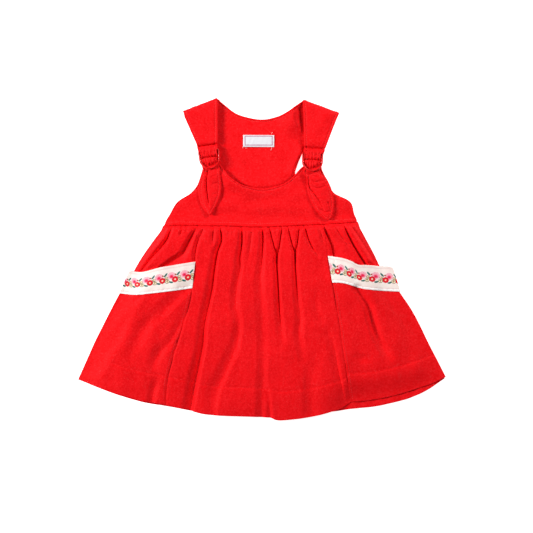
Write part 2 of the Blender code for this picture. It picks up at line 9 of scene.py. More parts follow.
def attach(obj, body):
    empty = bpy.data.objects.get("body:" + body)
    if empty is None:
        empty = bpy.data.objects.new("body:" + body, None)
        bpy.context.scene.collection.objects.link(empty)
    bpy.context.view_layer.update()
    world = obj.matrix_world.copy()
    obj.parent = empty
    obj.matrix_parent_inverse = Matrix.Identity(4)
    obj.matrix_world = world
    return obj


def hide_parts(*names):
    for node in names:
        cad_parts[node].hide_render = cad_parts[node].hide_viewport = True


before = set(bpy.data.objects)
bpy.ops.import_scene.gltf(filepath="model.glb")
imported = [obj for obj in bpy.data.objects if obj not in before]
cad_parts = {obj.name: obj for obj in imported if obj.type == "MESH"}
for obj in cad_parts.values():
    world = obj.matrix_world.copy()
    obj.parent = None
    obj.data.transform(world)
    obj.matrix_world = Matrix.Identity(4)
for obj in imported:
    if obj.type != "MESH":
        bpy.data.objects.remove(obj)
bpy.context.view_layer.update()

# Tables and shapes are in millimetres in the CAD frame; meshes are made in metres.
MM = 0.001
BODY = "root"

# Cloth: half thicknesses, and the layers' middles
THIN = 0.42                # half the thickness of the skirt's single cloth
LINED = 0.55               # half the thickness of the bodice, straps and tails, which are doubled
TAPE = 0.32                # half the thickness of the ribbon and label
BACK_Z = 0.55
FRONT_Z = 1.8
SIDE_Z = 1.45              # middle of the front along its side seams, close on the back
RIM = (0.0, 0.05, 0.2, 0.55)   # distances of the grid lines that round off an edge

# D-rings
WIRE = 1.1
RING_HALF = 13.1
RING_TOP = -7.5            # from the foot of the strap's loop to the bars inside it
RING_SIDE = 4.2            # from the loop's foot to the middle of the arc
RING_CORNER = 2.5
RING_LENGTH = RING_SIDE + RING_HALF - RING_TOP
RING_ROOM = 1.2
REAR_Z = FRONT_Z + 0.8 + WIRE
TAIL_Z = REAR_Z + WIRE + RING_ROOM + 0.5
FRONT_ARC_Z = TAIL_Z + 0.5 + RING_ROOM + WIRE
FRONT_BAR_Z = REAR_Z + 2 * WIRE + 0.3
LOOP_TOP_Z = FRONT_BAR_Z + WIRE + 0.9
# Each buckle: the middle of its loop's foot, its turn, its outer side, and how far the loop's inner and
# outer edges swing outwards at the crease
BUCKLES = {
    "left": {"x": -71.2, "y": 139.4, "turn": 9.0, "outer": -1, "swing": (0, 1.1)},
    "right": {"x": 68.1, "y": 135.9, "turn": -2.5, "outer": 1, "swing": (1.5, 3.2)},
}
# The loop's upper layer, from its foot over the bars to the crease: below, how far down from the
# loop's top, half the width
STRAP_FOOT = [(-12.4, 0.9, 12.9), (-8, 0, 13.2), (0, 0, 13.0), (3.2, 0, 12.8), (4.0, 0.5, 11.9),
              (3.5, 1.3, 11.9), (2.3, 2.5, 11.8), (1.8, 4.1, 11.7), (1.3, 5.4, 11.5), (0.3, 6.2, 11.3)]
STRAP_LOOP = [(-1.3, 0.0, 11.1), (-5.0, 0.0, 11.1), (-7.5, 0.0, 11.9), (-8.9, 0.6, 12.3), (-10, 1.9, 12.6),
              (-11.4, 3.3, 12.9), (-13, 4.0, 13.1)]

# Outlines
WAIST = [(-132, 45.5), (-89, 45.6), (-43, 45), (-5, 43.5), (46, 45.5), (88, 47.5), (128, 50)]
SIDE_LEFT = [(-131, 45), (-147.7, 23), (-163, 1), (-172.5, -15.5), (-188, -46), (-211, -86), (-236, -138),
             (-247, -162)]
SIDE_RIGHT = [(128, 50), (139.5, 28.5), (151, 7), (158.3, -9), (176, -44), (209, -101), (247, -159.5)]
SEAM_LEFT = [(-86.5, 45), (-89, 9.5), (-94.5, -43), (-106.5, -90.5), (-122, -140.5), (-127, -162),
             (-129, -196)]
SEAM_RIGHT = [(83.5, 47), (89, 4), (95, -31), (105.5, -99), (115, -160.5), (119.5, -193)]
HEM_FRONT = [(-129, -196.5), (-100, -203), (-78.5, -208.5), (-56.5, -210.5), (11, -213.5), (20, -216.8),
             (31, -216.8), (67.5, -212), (96, -205), (108, -201), (119.5, -193.5)]
HEM_LEFT = [(-248, -162.5), (-225.5, -171), (-196, -181), (-159.5, -191), (-129, -196)]
HEM_RIGHT = [(119.5, -193), (150, -190), (181, -184), (212, -174.5), (232, -167.5), (248, -159)]
HEM_BACK = [(-247, -162.5), (-225.5, -172), (-196, -183), (-159.5, -193.5), (-129.5, -198.5),
            (-78.5, -207), (0, -209.5), (67.5, -208), (96, -206), (119, -202.5), (150, -199.5),
            (181, -193), (200, -187.5), (223, -177), (247, -161)]

# The ribbon bands: top and bottom edges from the side to the vertical seam
BAND_TOP = {
    "left": [(-178, -15.5), (-164.5, -17.5), (-156, -16.5), (-135.5, -11), (-115, -7.5), (-91, -3.2)],
    "right": [(175.5, -12.5), (172, -10), (159, -9.5), (141, -8), (129, -7.5), (119.5, -2.5),
              (107.5, 1.5), (89.5, 4.5)],
}
BAND_FOOT = {
    "left": [(-191.5, -46), (-172.5, -48), (-148, -46), (-123.5, -43), (-94.8, -39)],
    "right": [(185, -43.8), (159, -42.5), (140.5, -40.5), (129.5, -38), (119.5, -35), (107.5, -32),
              (95.5, -31.5)],
}
POCKET_SIDE = {
    "left": [(-191.5, -46), (-201, -63.5), (-212, -85), (-225.5, -112), (-237.5, -139), (-248, -162.5)],
    "right": [(185, -43.8), (202, -69), (213.6, -90.5), (223.9, -112), (235, -133.5), (248, -159)],
}
SEAMS = {"left": SEAM_LEFT, "right": SEAM_RIGHT}
SIDES = {"left": SIDE_LEFT, "right": SIDE_RIGHT}
HEMS = {"left": HEM_LEFT, "right": HEM_RIGHT}

STRAP_FRONT = {
    # (inner x, inner y), (outer x, outer y), z
    "left": [((-59.8, 158), (-88, 154.5), 4.9), ((-59.5, 170), (-91.5, 162.5), 5.4),
             ((-59.5, 188), (-98.5, 178.5), 5.8), ((-59.8, 204), (-103.8, 190.5), 6.3)],
    "right": [((57, 153.5), (86, 151), 4.9), ((56.7, 165), (90.6, 163), 5.4),
              ((56.3, 184), (96.6, 178.5), 5.8), ((55.8, 202), (101, 189.5), 6.3)],
}
SHOULDER = {"left": ((-61, 217.2), (-106.6, 199.4)), "right": ((56.3, 214.8), (104.2, 197))}
SHOULDER_RADIUS = 2.9
NECK_SLIDE = 2.45          # how far a strap's neck end slides along its fold, down the back
BACK_ROWS = {
    # (inner x, inner y), (outer x, outer y)
    "left": [((-57, 213.5), (-104.5, 192)), ((-48.5, 206.5), (-95, 177)), ((-42, 201), (-79, 160)),
             ((-34, 196), (-66, 146)), ((-26, 193), (-62, 131))],
    "right": [((52, 211.5), (100.5, 189.5)), ((44.5, 206), (91, 175)), ((38, 201), (74, 159)),
              ((29.5, 196), (57, 146)), ((23, 193), (49.3, 131))],
}
NECK_BACK = [(-26, 193), (-16, 190.5), (-8, 189), (0, 188.6), (7, 189), (14, 190.5), (23, 193)]
# Below that, the back's own sides: x at each height, down both armholes and side seams
BACK_SIDES = [
    # y, left x, right x
    (131, -62, 49.3), (124, -62.3, 47), (117, -63.5, 44.8), (108, -66, 46.5), (100, -70, 50.5),
    (92, -76.5, 57), (85.5, -85, 69), (80, -98, 90), (75.8, -113.5, 118.5), (68, -119.5, 122),
    (61, -124, 124.5), (53, -129, 128),
]
# The bodice front runs as one strip from tail tip to tail tip. Rows go from the tip up to the ring.
TAIL_ROWS = {
    # (inner x, inner y), (outer x, outer y)
    "left": [((-69.4, 59.8), (-70.6, 59.8)), ((-65.5, 65), (-75.5, 64)), ((-60.5, 74), (-81, 72.5)),
             ((-57, 83), (-84.5, 83)), ((-55, 93), (-85.5, 91.5)), ((-54.8, 104), (-84, 104)),
             ((-56, 114), (-81, 114))],
    "right": [((89.4, 53.2), (90.8, 53.2)), ((84, 55), (93.7, 56)), ((77, 60.5), (96, 62.5)),
              ((70.5, 69), (97, 73)), ((65.5, 79), (96.8, 82)), ((61.8, 90), (94.8, 90.5)),
              ((60.4, 100), (91.5, 99.5)), ((59.6, 110), (85, 111))],
}
BODICE_ROWS = {
    "left": [((-57, 128), (-80.5, 120)), ((-51.3, 120.8), (-83.5, 110)), ((-44.4, 111.6), (-88, 98.5)),
             ((-36, 104.9), (-97.2, 88)), ((-30.5, 101.8), (-114.4, 76.5))],
    "right": [((57.4, 126.5), (82.6, 117)), ((52.3, 122.6), (86.6, 108.5)), ((45, 114.3), (91, 98.5)),
              ((36.8, 106.2), (98.5, 88)), ((31.5, 102.6), (119.5, 76.5))],
}
NECK_FRONT = [(-28.5, 100.8), (-20.5, 98), (-10, 95.8), (0.5, 94.9), (11, 95.8), (21, 98.3), (29.3, 101.4)]
BODICE_SIDE = {"left": (-124, 61), "right": (124.5, 61)}
# The ear's fold through the rings: distance below the loop, how far from the lower to the upper layer,
# and half the width
EAR_SPREAD = {"left": 0.0, "right": 2.0}   # more at the outer end of the lowest row
EAR_FOLD = [(15, 0.0, 11.6), (9, 0.0, 12.6), (7, 0.02, 12.6), (5.7, 0.2, 11.8), (4.6, 0.5, 11.8),
            (3.6, 0.74, 11.8), (3.9, 0.9, 11.4), (5.1, 0.98, 11.0), (7.5, 1.0, 10.7), (11, 1.0, 10.5),
            (14.5, 1.0, 10.6), (17.5, 1.0, 11.1), (20.5, 1.0, 11.8)]
NECK_LIFT = 4.4            # rise of the front's free neck edge off the back, at its left half
NECK_STEP = 1.9            # rise of the back just above that edge, at its right half
# Where the back's cloth sinks, under the right strap and at its armhole: ridges, given as creases
ARMHOLE_RIDGE = ([(56, 156), (53.2, 147), (45.6, 132), (43.2, 124.5), (41.2, 117), (38, 108)],
                 (0, -2.0, -2.4, -2.2, -1.4, 0), 14, 3.4, 0.3, 0)
SHOULDER_HOLLOW = ([(53, 211), (43.5, 205), (41.5, 196), (42, 188), (46, 180), (54, 168)],
                   (-3.4, -5.6, -6.8, -6.6, -4.8, 0), 28, (6.5, 9.5, 12, 12, 9.5, 6.5), 0.4, 0)
LABEL = {"left": -25.5, "right": 16.5, "top": 167.3, "foot": 151.2, "turn": -0.4}

# Creases of the skirt: points, depth, left, right, sharp and slot. Each runs from its first point to its
# last; "left" and "right" are how far its two slopes reach, seen along it downwards. A sharp crease (1) is
# a cusp, a soft one (0) a round dip, and the slot is an extra narrow cut along its line. Values are one
# for all points, or one for each point in turn, the last holding on to the end.
CENTRE_CREASES = {
    "c1": ([(-66, 43), (-66, 31), (-67, 16)], (3, 3, 0), 5, 4, 1, 1.5),
    "c2": ([(-56.5, 43), (-54, 25.5), (-59.5, 9.5), (-63.5, -15), (-66, -35), (-71.5, -62), (-77, -89),
        (-79.5, -116), (-85, -143), (-90.5, -170), (-97, -205)],
        (4.5, 6, 6.5, 6, 6, 6, 6, 6.5, 7, 7, 6.5), (6, 7, 9, 10, 11, 12, 12, 12, 13, 14),
        (4, 4, 4, 4, 4.5, 5, 5.5, 6, 6.5, 7), (0.9, 0.9, 0.8, 0.7, 0.6, 0.5), (2, 2, 1.6, 1, 0.6, 0.3, 0)),
    "c3a": ([(-46, 43), (-44.5, 29.5)], (2.5, 0), 3, 3, 1, 1),
    "c3b": ([(-40, 43), (-39, 28.5)], (2.5, 0), 3, 3, 1, 1),
    "c4": ([(-27, 43), (-27, 19), (-29.5, 1.5), (-29, -9.5), (-34, -42), (-35, -66), (-31, -85),
        (-35, -116), (-48.5, -147), (-62, -179.5), (-66, -210.5)],
        (5, 5.5, 5, 4.4, 3.6, 3, 2.8, 2.4, 2.6, 2.6, 2), (5, 7, 9, 10, 11, 11, 11, 13, 16, 18),
        (4, 4, 4, 5, 6, 7, 7, 8, 9), (0.9, 0.9, 0.7, 0.5, 0.2, 0.1, 0.1, 0, 0, 0.1),
        (1.6, 1.6, 0.8, 0.3, 0)),
    "c5": ([(-13.5, 43), (-15.5, 19), (-19, -5.5)], (2.5, 1.5, 0), 5, 4, 0.7, 0.7),
    "c6": ([(0, 43), (1.5, 25.5), (0, -4), (-1.5, -28.5), (0, -69), (1.5, -123), (0, -177), (0, -214.5)],
        (5, 5.5, 4, 2.6, 1.8, 1.8, 2.6, 3.4), (6, 7, 9, 11, 12, 11), (4, 4, 5, 7, 9, 9, 8),
        (0.9, 0.9, 0.6, 0.2, 0, 0, 0.1), (1.8, 1.8, 0.6, 0)),
    "c6b": ([(2.5, -152.5), (8, -179.5), (11, -214.5)], (0, 2.2, 3.6), 9, 5, 0.2, 0),
    "c7l": ([(9.5, 43), (13.5, 27), (17.5, 12), (20, -5.5)], (4.5, 4, 4.5, 2), 3.5, 3.5, 1, 1),
    "c7r": ([(27, 43), (25, 28.5), (23, 15), (20, -5.5)], (4.5, 4, 4.5, 2), 3.5, 3.5, 1, 1),
    "c7": ([(20, 12), (20, -5.5), (21.5, -28.5), (23, -55.5), (24.5, -77), (27, -98.5), (29.5, -123)],
        (2, 5.5, 5.5, 5, 4, 2, 0), (4, 6, 7, 8, 9, 10), (4, 4, 4, 4.5, 5, 6, 7),
        (0.9, 0.9, 0.9, 0.8, 0.6, 0.3, 0.1), (2, 2, 2, 1.4, 0.7, 0)),
    "c8l": ([(35, 43), (39, 25.5), (43, 11), (45, -4)], (4.5, 4, 4, 2), 3.5, 3.5, 1, 1),
    "c8r": ([(50, 43), (48, 25.5), (46, 11), (45, -4)], (4.5, 4, 4, 2), 3.5, 3.5, 1, 1),
    "c8": ([(44.5, 12), (45, -7), (46.5, -31), (48.5, -55.5), (51.5, -79.5), (50, -102.5), (54, -125.5),
        (61, -156.5)],
        (2, 5, 4.5, 3.6, 3.2, 2.8, 1.8, 0), (5, 6, 7, 8, 9, 10), (4, 4, 5, 6, 7, 8, 10),
        (0.9, 0.9, 0.7, 0.4, 0.3, 0.2, 0.1, 0), (1.6, 1.6, 0.8, 0.2, 0)),
    "c9": ([(58, 43), (62, 28.5), (67.5, 16), (78.5, 0)], (4.5, 4.5, 3, 0), 5, 4, 1, 1.2),
    "c9b": ([(73, -35), (74, -69), (89, -98.5)], (0, 1.8, 1), 12, 8, 0, 0),
    "c10": ([(88, -85), (94.5, -109.5), (100, -133.5), (104.5, -158), (109.5, -182), (112, -196)],
        (0, 1.8, 2.6, 2.6, 2.2, 1.8), 12, (6, 5, 4.5, 4, 3.5), (0.1, 0.2, 0.4, 0.6, 0.7, 0.8),
        (0, 0, 0, 0.2, 0.3)),
    "c11": ([(75.5, -116), (67.5, -147), (65, -177), (66, -206.5)], (0, 1.8, 2.2, 2), 14, 14, 0, 0),
}
LEFT_CREASES = [
    ([(-122, 42), (-127.5, 27.5), (-136.5, 15), (-148, 2.5), (-156.5, -8), (-163.5, -17.5)],
        (6, 8, 8.4, 8.2, 8, 7), (5, 6, 6.5, 6.5, 6.5, 6), 4.5, 0.8, 2),
    ([(-108, 43), (-108.5, 38), (-110.5, 29)], (3, 3.4, 0), 3.5, 3, 1, 1),
    ([(-90, 40.5), (-96, 29.5), (-102.5, 19), (-109.5, 7), (-123, -2.5), (-136.5, -12)],
        (5, 7, 7.6, 6.6, 5.6, 5.2), 4, (5, 7, 10, 12, 12, 11), (0.9, 0.9, 0.8, 0.5, 0.3, 0.4),
        (1.8, 2, 2, 1, 0.2, 0.6)),
    ([(-79.5, 39), (-85.5, 25.5), (-90, 9.5), (-90.5, -4)], (3, 3, 2.5, 2), 5, 4, 0.7, 0.8),
    ([(-101, 43), (-102.5, 35)], (2.5, 0), 3, 3, 1, 0.5),
]
RIGHT_CREASES = [
    ([(110.5, 44.5), (116, 32.5), (123, 19), (131, 5.5), (140.5, -9.5)], (4.5, 5.5, 6, 6.5), 5,
        (5, 5, 6, 7, 8), 0.8, 2),
    ([(83.5, 40.5), (89, 28.5), (93, 17.5), (96, 4)], (5, 6.5, 5.5, 4.5), 4, (8, 12, 18, 20), 0.7, 1.5),
    ([(120, 44.5), (133.5, 24.5), (151, -2.5)], (3, 3, 2.5), 5, 5, 0.5, 0.6),
    ([(98.5, 43), (108, 28.5), (121.5, 9.5)], (2.5, 2, 0), 4, 4, 0.8, 0.6),
    ([(104, 46), (106.5, 38)], (2.5, 0), 3, 3, 1, 0.5),
    ([(77, 43), (81, 28.5), (86.5, 12)], (2.5, 2, 0), 4, 4, 0.7, 0.5),
]
POCKET_CREASES = [
    ([(-162, -50), (-170, -55.5), (-178, -61)], (1.5, 1.5, 0), 6, 6, 0, 0),
    ([(-169, -62), (-194.5, -101), (-223, -144.5)], (0, 2.3, 1.1), (10, 16), (10, 14), 0, 0),
    ([(-135, -51.5), (-156.5, -92), (-181, -136.5)], (0, 2.1, 0.6), (10, 15), (8, 12), 0, 0),
    ([(-100, -39), (-127, -65), (-151, -90.5)], (2, 2.5, 0.5), 16, 10, 0, 0),
    ([(-105.5, -77), (-123, -110.5), (-137.5, -127), (-152.5, -155)], (0.4, 2.2, 2.2, 0),
        (8, 12, 14), (5, 7, 9), 0.3, 0),
    ([(-109.5, -105.5), (-119, -116), (-131, -129.5)], (0.8, 0.6, 0), 4, 3, 0.3, 0),
    ([(-113.5, -112), (-119, -125.5), (-124, -140.5)], (1.2, 0.7, 0), 4, 3, 0.3, 0.1),
    ([(-137.5, -152.5), (-144.5, -174), (-148.5, -193)], (0, 2.5), 10, 8, 0.2, 0),
    ([(128, -40.5), (142, -61), (150, -89), (162, -116), (177, -136.5)], (4, 6.5, 7, 5.5, 0),
        (9, 10, 10, 11, 12), (10, 11, 12), 0.2, 0),
    ([(162, -43), (175.5, -58), (189, -75.5), (198.5, -94.5)], (2.5, 4.5, 4.5, 0), 10, 12, 0.1, 0),
    ([(123, -127), (135, -133.5), (148.5, -137.5)], (0, 1.5, 0), 9, 9, 0, 0),
]
# Creases of the two tails
TAIL_CREASES = {
    "left": [
        ([(-72, 120), (-74.5, 108), (-74, 93), (-72.5, 79.5), (-71, 69)], (2, 3.2, 3.4, 3, 0), 3.4,
            2.4, 0.8, 1.2),
        ([(-68, 110.5), (-61, 112.5)], (1, 0.5), 1.6, 1.6, 0.3, 0),
        ([(-66, 100.5), (-59.5, 102.5)], (0.9, 0.4), 1.6, 1.6, 0.3, 0),
        ([(-66, 86.5), (-59.5, 88.5)], (0.8, 0.3), 1.6, 1.6, 0.3, 0),
        ([(-80.5, 106.5), (-75.5, 104)], (0.3, 0.8), 1.6, 1.6, 0.3, 0),
    ],
    "right": [
        ([(63.5, 112.5), (73, 110.5), (81, 112.5)], (0.3, 1.1, 0.4), 1.6, 1.6, 0.3, 0),
        ([(63.5, 106.5), (73, 103.5), (82.5, 105.5)], (0.3, 1.2, 0.4), 1.6, 1.6, 0.3, 0),
        ([(67.5, 97), (77, 95), (85, 98.5)], (0.4, 1.5, 0.5), 1.9, 1.9, 0.3, 0),
        ([(63, 109.5), (64, 97), (70, 89), (78.5, 75.5), (83.5, 65)], (0.8, 2.6, 2.2, 2.2, 0.8),
            2.8, 2.6, 0.6, 0.6),
        ([(89, 75.5), (92, 65)], (1.6, 0.9), 2.2, 2.2, 0.3, 0),
        ([(75.5, 67.5), (85, 63.5), (92, 63.5)], (0.5, 1.8, 0.5), 2, 2, 0.3, 0),
    ],
}

# Folds, hems and seams
WAIST_PUCKERS = 46         # short random gathers below the waist seam
PUFF = 8.0                 # how high the gathered front stands between its creases
PUFF_NEAR_HEM = 7.2
PUFF_RIGHT_HEM = 5.0       # the right pocket lies flatter
EDGE_REACH = 15            # over which the front rises from the side seams
POCKET_REACH = 36          # and the same on the pockets
WAIST_REACH = 6.5          # and from the waist
WAIST_RISE = 0.8
FOLD_FLOOR = 1.2           # how high the deepest creases stay above FRONT_Z
MOUTH_RISE = 0.9           # rise of the pocket's upper part, at the seam
BAND_RISE = 2.0            # and further out
HEM_DEPTH = 39             # height of the turned-up hem
STITCH_IN = 3.3            # from a finished edge to its topstitching
WAIST_STITCH = 4.2         # from the waist seam up to its topstitching
BAND_STITCHES = (4.0, 32.3)    # from the ribbon's top edge


# Shapes

def ease(value):
    value = np.clip(value, 0.0, 1.0)
    return value * value * (3 - 2 * value)


def mix(a, b, share):
    return a + (b - a) * share


def bell(value):
    return np.exp(-np.asarray(value) ** 2)


def hermite(points, places, corners=()):
    """Points of a smooth curve through points, at places counted in points from the first."""
    p = np.asarray(points, float)
    step = np.diff(p, axis=0)
    run = np.maximum(np.linalg.norm(step, axis=1), 1e-9)[:, None]
    leave, arrive = step.copy(), step.copy()
    for k in range(1, len(p) - 1):
        if k not in corners:
            tangent = (p[k + 1] - p[k - 1]) / (run[k - 1] + run[k])
            leave[k], arrive[k - 1] = tangent * run[k], tangent * run[k - 1]
    places = np.asarray(places, float)
    k = np.clip(np.floor(places).astype(int), 0, len(p) - 2)
    t = (places - k)[:, None]
    t2, t3 = t * t, t ** 3
    return (p[k] * (2 * t3 - 3 * t2 + 1) + leave[k] * (t3 - 2 * t2 + t)
            + p[k + 1] * (3 * t2 - 2 * t3) + arrive[k] * (t3 - t2))


def lengths(p, axis=0):
    """How far each point is from the first, along the grid's or line's own steps."""
    step = np.linalg.norm(np.diff(p, axis=axis), axis=-1)
    return np.concatenate([np.zeros_like(np.take(step, [0], axis)), np.cumsum(step, axis)], axis)


def along(points, shares):
    """Points at shares of the length of a smooth curve through points."""
    length = lengths(np.asarray(points, float))
    return hermite(points, np.interp(np.asarray(shares) * length[-1], length, np.arange(len(length))))


CURVES = {}


def dense(points):
    key = tuple(points)
    if key not in CURVES:
        CURVES[key] = along(points, np.linspace(0, 1, 400))
    return CURVES[key]


def height_of(points, x):
    """y of an edge that runs from left to right or back, at x."""
    c = dense(points)
    c = c[::-1] if c[0, 0] > c[-1, 0] else c
    return np.interp(x, c[:, 0], c[:, 1])


def across_at(points, y):
    """x of an edge that runs downwards, at y."""
    c = dense(points)
    return np.interp(-np.asarray(y), -c[:, 1], c[:, 0])


def from_sides(x, y):
    return np.minimum(x - across_at(SIDE_LEFT, y), across_at(SIDE_RIGHT, y) - x)


def shares(count, crowd=0.0):
    k = np.arange(count + 1) / count
    return k - crowd * np.sin(2 * np.pi * k) / (2 * np.pi)


def rimmed(count, length, crowd=0.0, start=True, end=True):
    """So many shares from 0 to 1 of a length, with extra lines that round off the first and last edge."""
    rim = np.array(RIM) / length
    middle = mix(rim[-1] * start, 1 - rim[-1] * end, shares(count, crowd))
    return np.concatenate([rim[:-1] if start else [], middle, 1 - rim[-2::-1] if end else []])


def line_distance(x, y, line):
    """Signed distance to a line of points (right of its direction is positive), and the place on it."""
    best = np.full(x.shape, 1e9)
    side, place = np.zeros(x.shape), np.zeros(x.shape)
    for k in range(len(line) - 1):
        (px, py), (dx, dy) = line[k], line[k + 1] - line[k]
        t = np.clip(((x - px) * dx + (y - py) * dy) / (dx * dx + dy * dy + 1e-12), 0, 1)
        away = np.hypot(x - px - t * dx, y - py - t * dy)
        near = away < best
        best = np.where(near, away, best)
        side = np.where(near, np.sign((y - py) * dx - (x - px) * dy), side)
        place = np.where(near, k + t, place)
    return best * side, place


def crease(x, y, points, depth, left, right, sharp=0.5, slot=0.0):
    """Depth of one crease at the points x, y."""
    steps = 5
    line = hermite(points, np.linspace(0, len(points) - 1, steps * (len(points) - 1) + 1))
    widest = max(np.max(left), np.max(right)) + 1
    low, high = line.min(axis=0) - widest, line.max(axis=0) + widest
    box = (x > low[0]) & (x < high[0]) & (y > low[1]) & (y < high[1])
    out = np.zeros(x.shape)
    if not box.any():
        return out
    away, place = line_distance(x[box], y[box], line)

    def value(v):
        return np.interp(place / steps, np.arange(len(v)), v) if np.ndim(v) else v

    a = np.clip(np.abs(away) / np.where(away < 0, value(left), value(right)), 0, 1)
    deep = value(depth)
    cut = value(slot) * np.clip(1 - np.abs(away) / 2.0, 0, 1) ** 1.3
    out[box] = deep * mix(0.5 * (1 + np.cos(np.pi * a)), (1 - a) ** 1.7, value(sharp))
    out[box] += cut * np.clip(deep / 3, 0, 1)
    return out


def creases(x, y, rows):
    return sum((crease(x, y, *row) for row in rows), np.zeros(x.shape))


def ripples(x, y, seed, wave, rise, stretch=1.0):
    """A smooth uneven field of about rise, with waves of about wave, longer along y by stretch."""
    draw = np.random.RandomState(seed)
    u, v = x / wave, y / (wave * stretch)
    total = np.zeros(np.shape(x))
    for _ in range(7):
        angle, size, phase = draw.uniform(0, np.pi), draw.uniform(0.6, 1.7), draw.uniform(0, 6.28)
        total += np.sin(2 * np.pi * size * (u * math.cos(angle) + v * math.sin(angle)) + phase) / size
    return total * rise / 2.6


def puckers():
    draw = np.random.RandomState(7)
    rows = []
    for k in range(WAIST_PUCKERS):
        x = -128 + 253 * (k + draw.uniform(0.15, 0.85)) / WAIST_PUCKERS
        long = draw.uniform(4, 17)
        lean = x * 0.0035 * long + draw.uniform(-1, 1)
        top = float(height_of(WAIST, x))
        deep = draw.uniform(0.9, 2.2)
        points = [(x, top), (x + lean * 0.5, top - long * 0.5), (x + lean, top - long)]
        rows.append((points, (deep, deep * 0.8, 0), draw.uniform(1.8, 3.2), draw.uniform(1.5, 2.6), 0.6))
    return rows


PUCKERS = puckers()


def front_height(x, y, rows, side_floor=0.0, seed=3, reach=EDGE_REACH):
    """Middle of the skirt's upper layer, with those creases beside the centre's."""
    from_side, from_waist = from_sides(x, y), height_of(WAIST, x) - y
    swell = ease(from_waist / WAIST_REACH)
    near_hem = mix(PUFF_NEAR_HEM, PUFF_RIGHT_HEM, ease((x - 105) / 45))
    puff = mix(PUFF, near_hem, ease((from_waist - 60) / 150)) * swell
    rows = [*CENTRE_CREASES.values(), *rows, *PUCKERS]
    gathered = puff - creases(x, y, rows) * mix(0.6, 1.0, swell)
    gathered = 0.5 * (gathered + np.sqrt(gathered ** 2 + 0.6))      # a rounded stop at zero
    rough = ripples(x, y, seed, 38, 0.55, 2.2) * swell + ripples(x, y, seed + 1, 11, 0.09, 2.5)
    inside = mix(WAIST_RISE - 0.5, FOLD_FLOOR, swell) + gathered + rough
    return mix(SIDE_Z, FRONT_Z, ease(from_side / 6)) + mix(side_floor, inside, ease(from_side / reach))


def waist_dip(x, y):
    return 0.5 * bell((height_of(WAIST, x) - y) / 1.5)


def seam_dip(x, y, seam):
    return 0.7 * bell((x - across_at(seam, y)) / 1.6)


def with_hem(x, y, z, hem):
    """Adds the stitched ridge and the doubled cloth below it. Towards the right, the hem lies down."""
    above = y - height_of(hem, x)
    z = z + 0.2 * ease((HEM_DEPTH - above) / 3) - 0.32 * bell((above - HEM_DEPTH) / 1.4)
    low = (1 - ease(above / 34)) * ease((x - 75) / 45)
    return mix(z, np.minimum(z, FRONT_Z + 0.7), low)


# Grids of points and meshes

def grid(*parts):
    """A grid of points from their x, y and z, or from two coordinates."""
    return np.stack(np.broadcast_arrays(*parts), axis=2)


def upward(p):
    """Normals of a grid, each turned to its upward side."""
    n = np.cross(np.gradient(p, axis=0), np.gradient(p, axis=1))
    n /= np.maximum(np.linalg.norm(n, axis=2, keepdims=True), 1e-12)
    return n * np.where(n[..., 2:] < 0, -1.0, 1.0)


def to_edges(p, top=True, right=True):
    """Distance of each grid point to the cloth's own edges, along the grid's lines."""
    across, down = lengths(p, 1), lengths(p, 0)
    best = np.minimum(across, down[-1:] - down)
    if top:
        best = np.minimum(best, down)
    own = np.broadcast_to(right, len(p))[:, None]
    return np.minimum(best, np.where(own, across[:, -1:] - across, 1e9))


PIECES = {}


def add_piece(name, mesh, look, node=None):
    """Shows a mesh, in place of a CAD node where one is named. A look is a material and its slot."""
    material, slot = look
    mesh.materials.append(material)
    mesh.shade_smooth()
    piece = bpy.data.objects.new(name, mesh)
    bpy.context.scene.collection.objects.link(piece)
    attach(piece, BODY)
    if node:
        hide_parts(node)
    return piece


def mesh_piece(name, verts, faces, look, node=None, uv=None):
    mesh = bpy.data.meshes.new(name)
    mesh.from_pydata((verts * MM).tolist(), [], faces)
    if uv is not None:
        corner = np.zeros(len(mesh.loops), np.int32)
        mesh.loops.foreach_get("vertex_index", corner)
        layer = mesh.uv_layers.new(name="cloth")
        layer.data.foreach_set("uv", (uv[corner] * MM).astype(np.float32).ravel())
    PIECES[name] = (verts, faces)
    return add_piece(name, mesh, look, node)


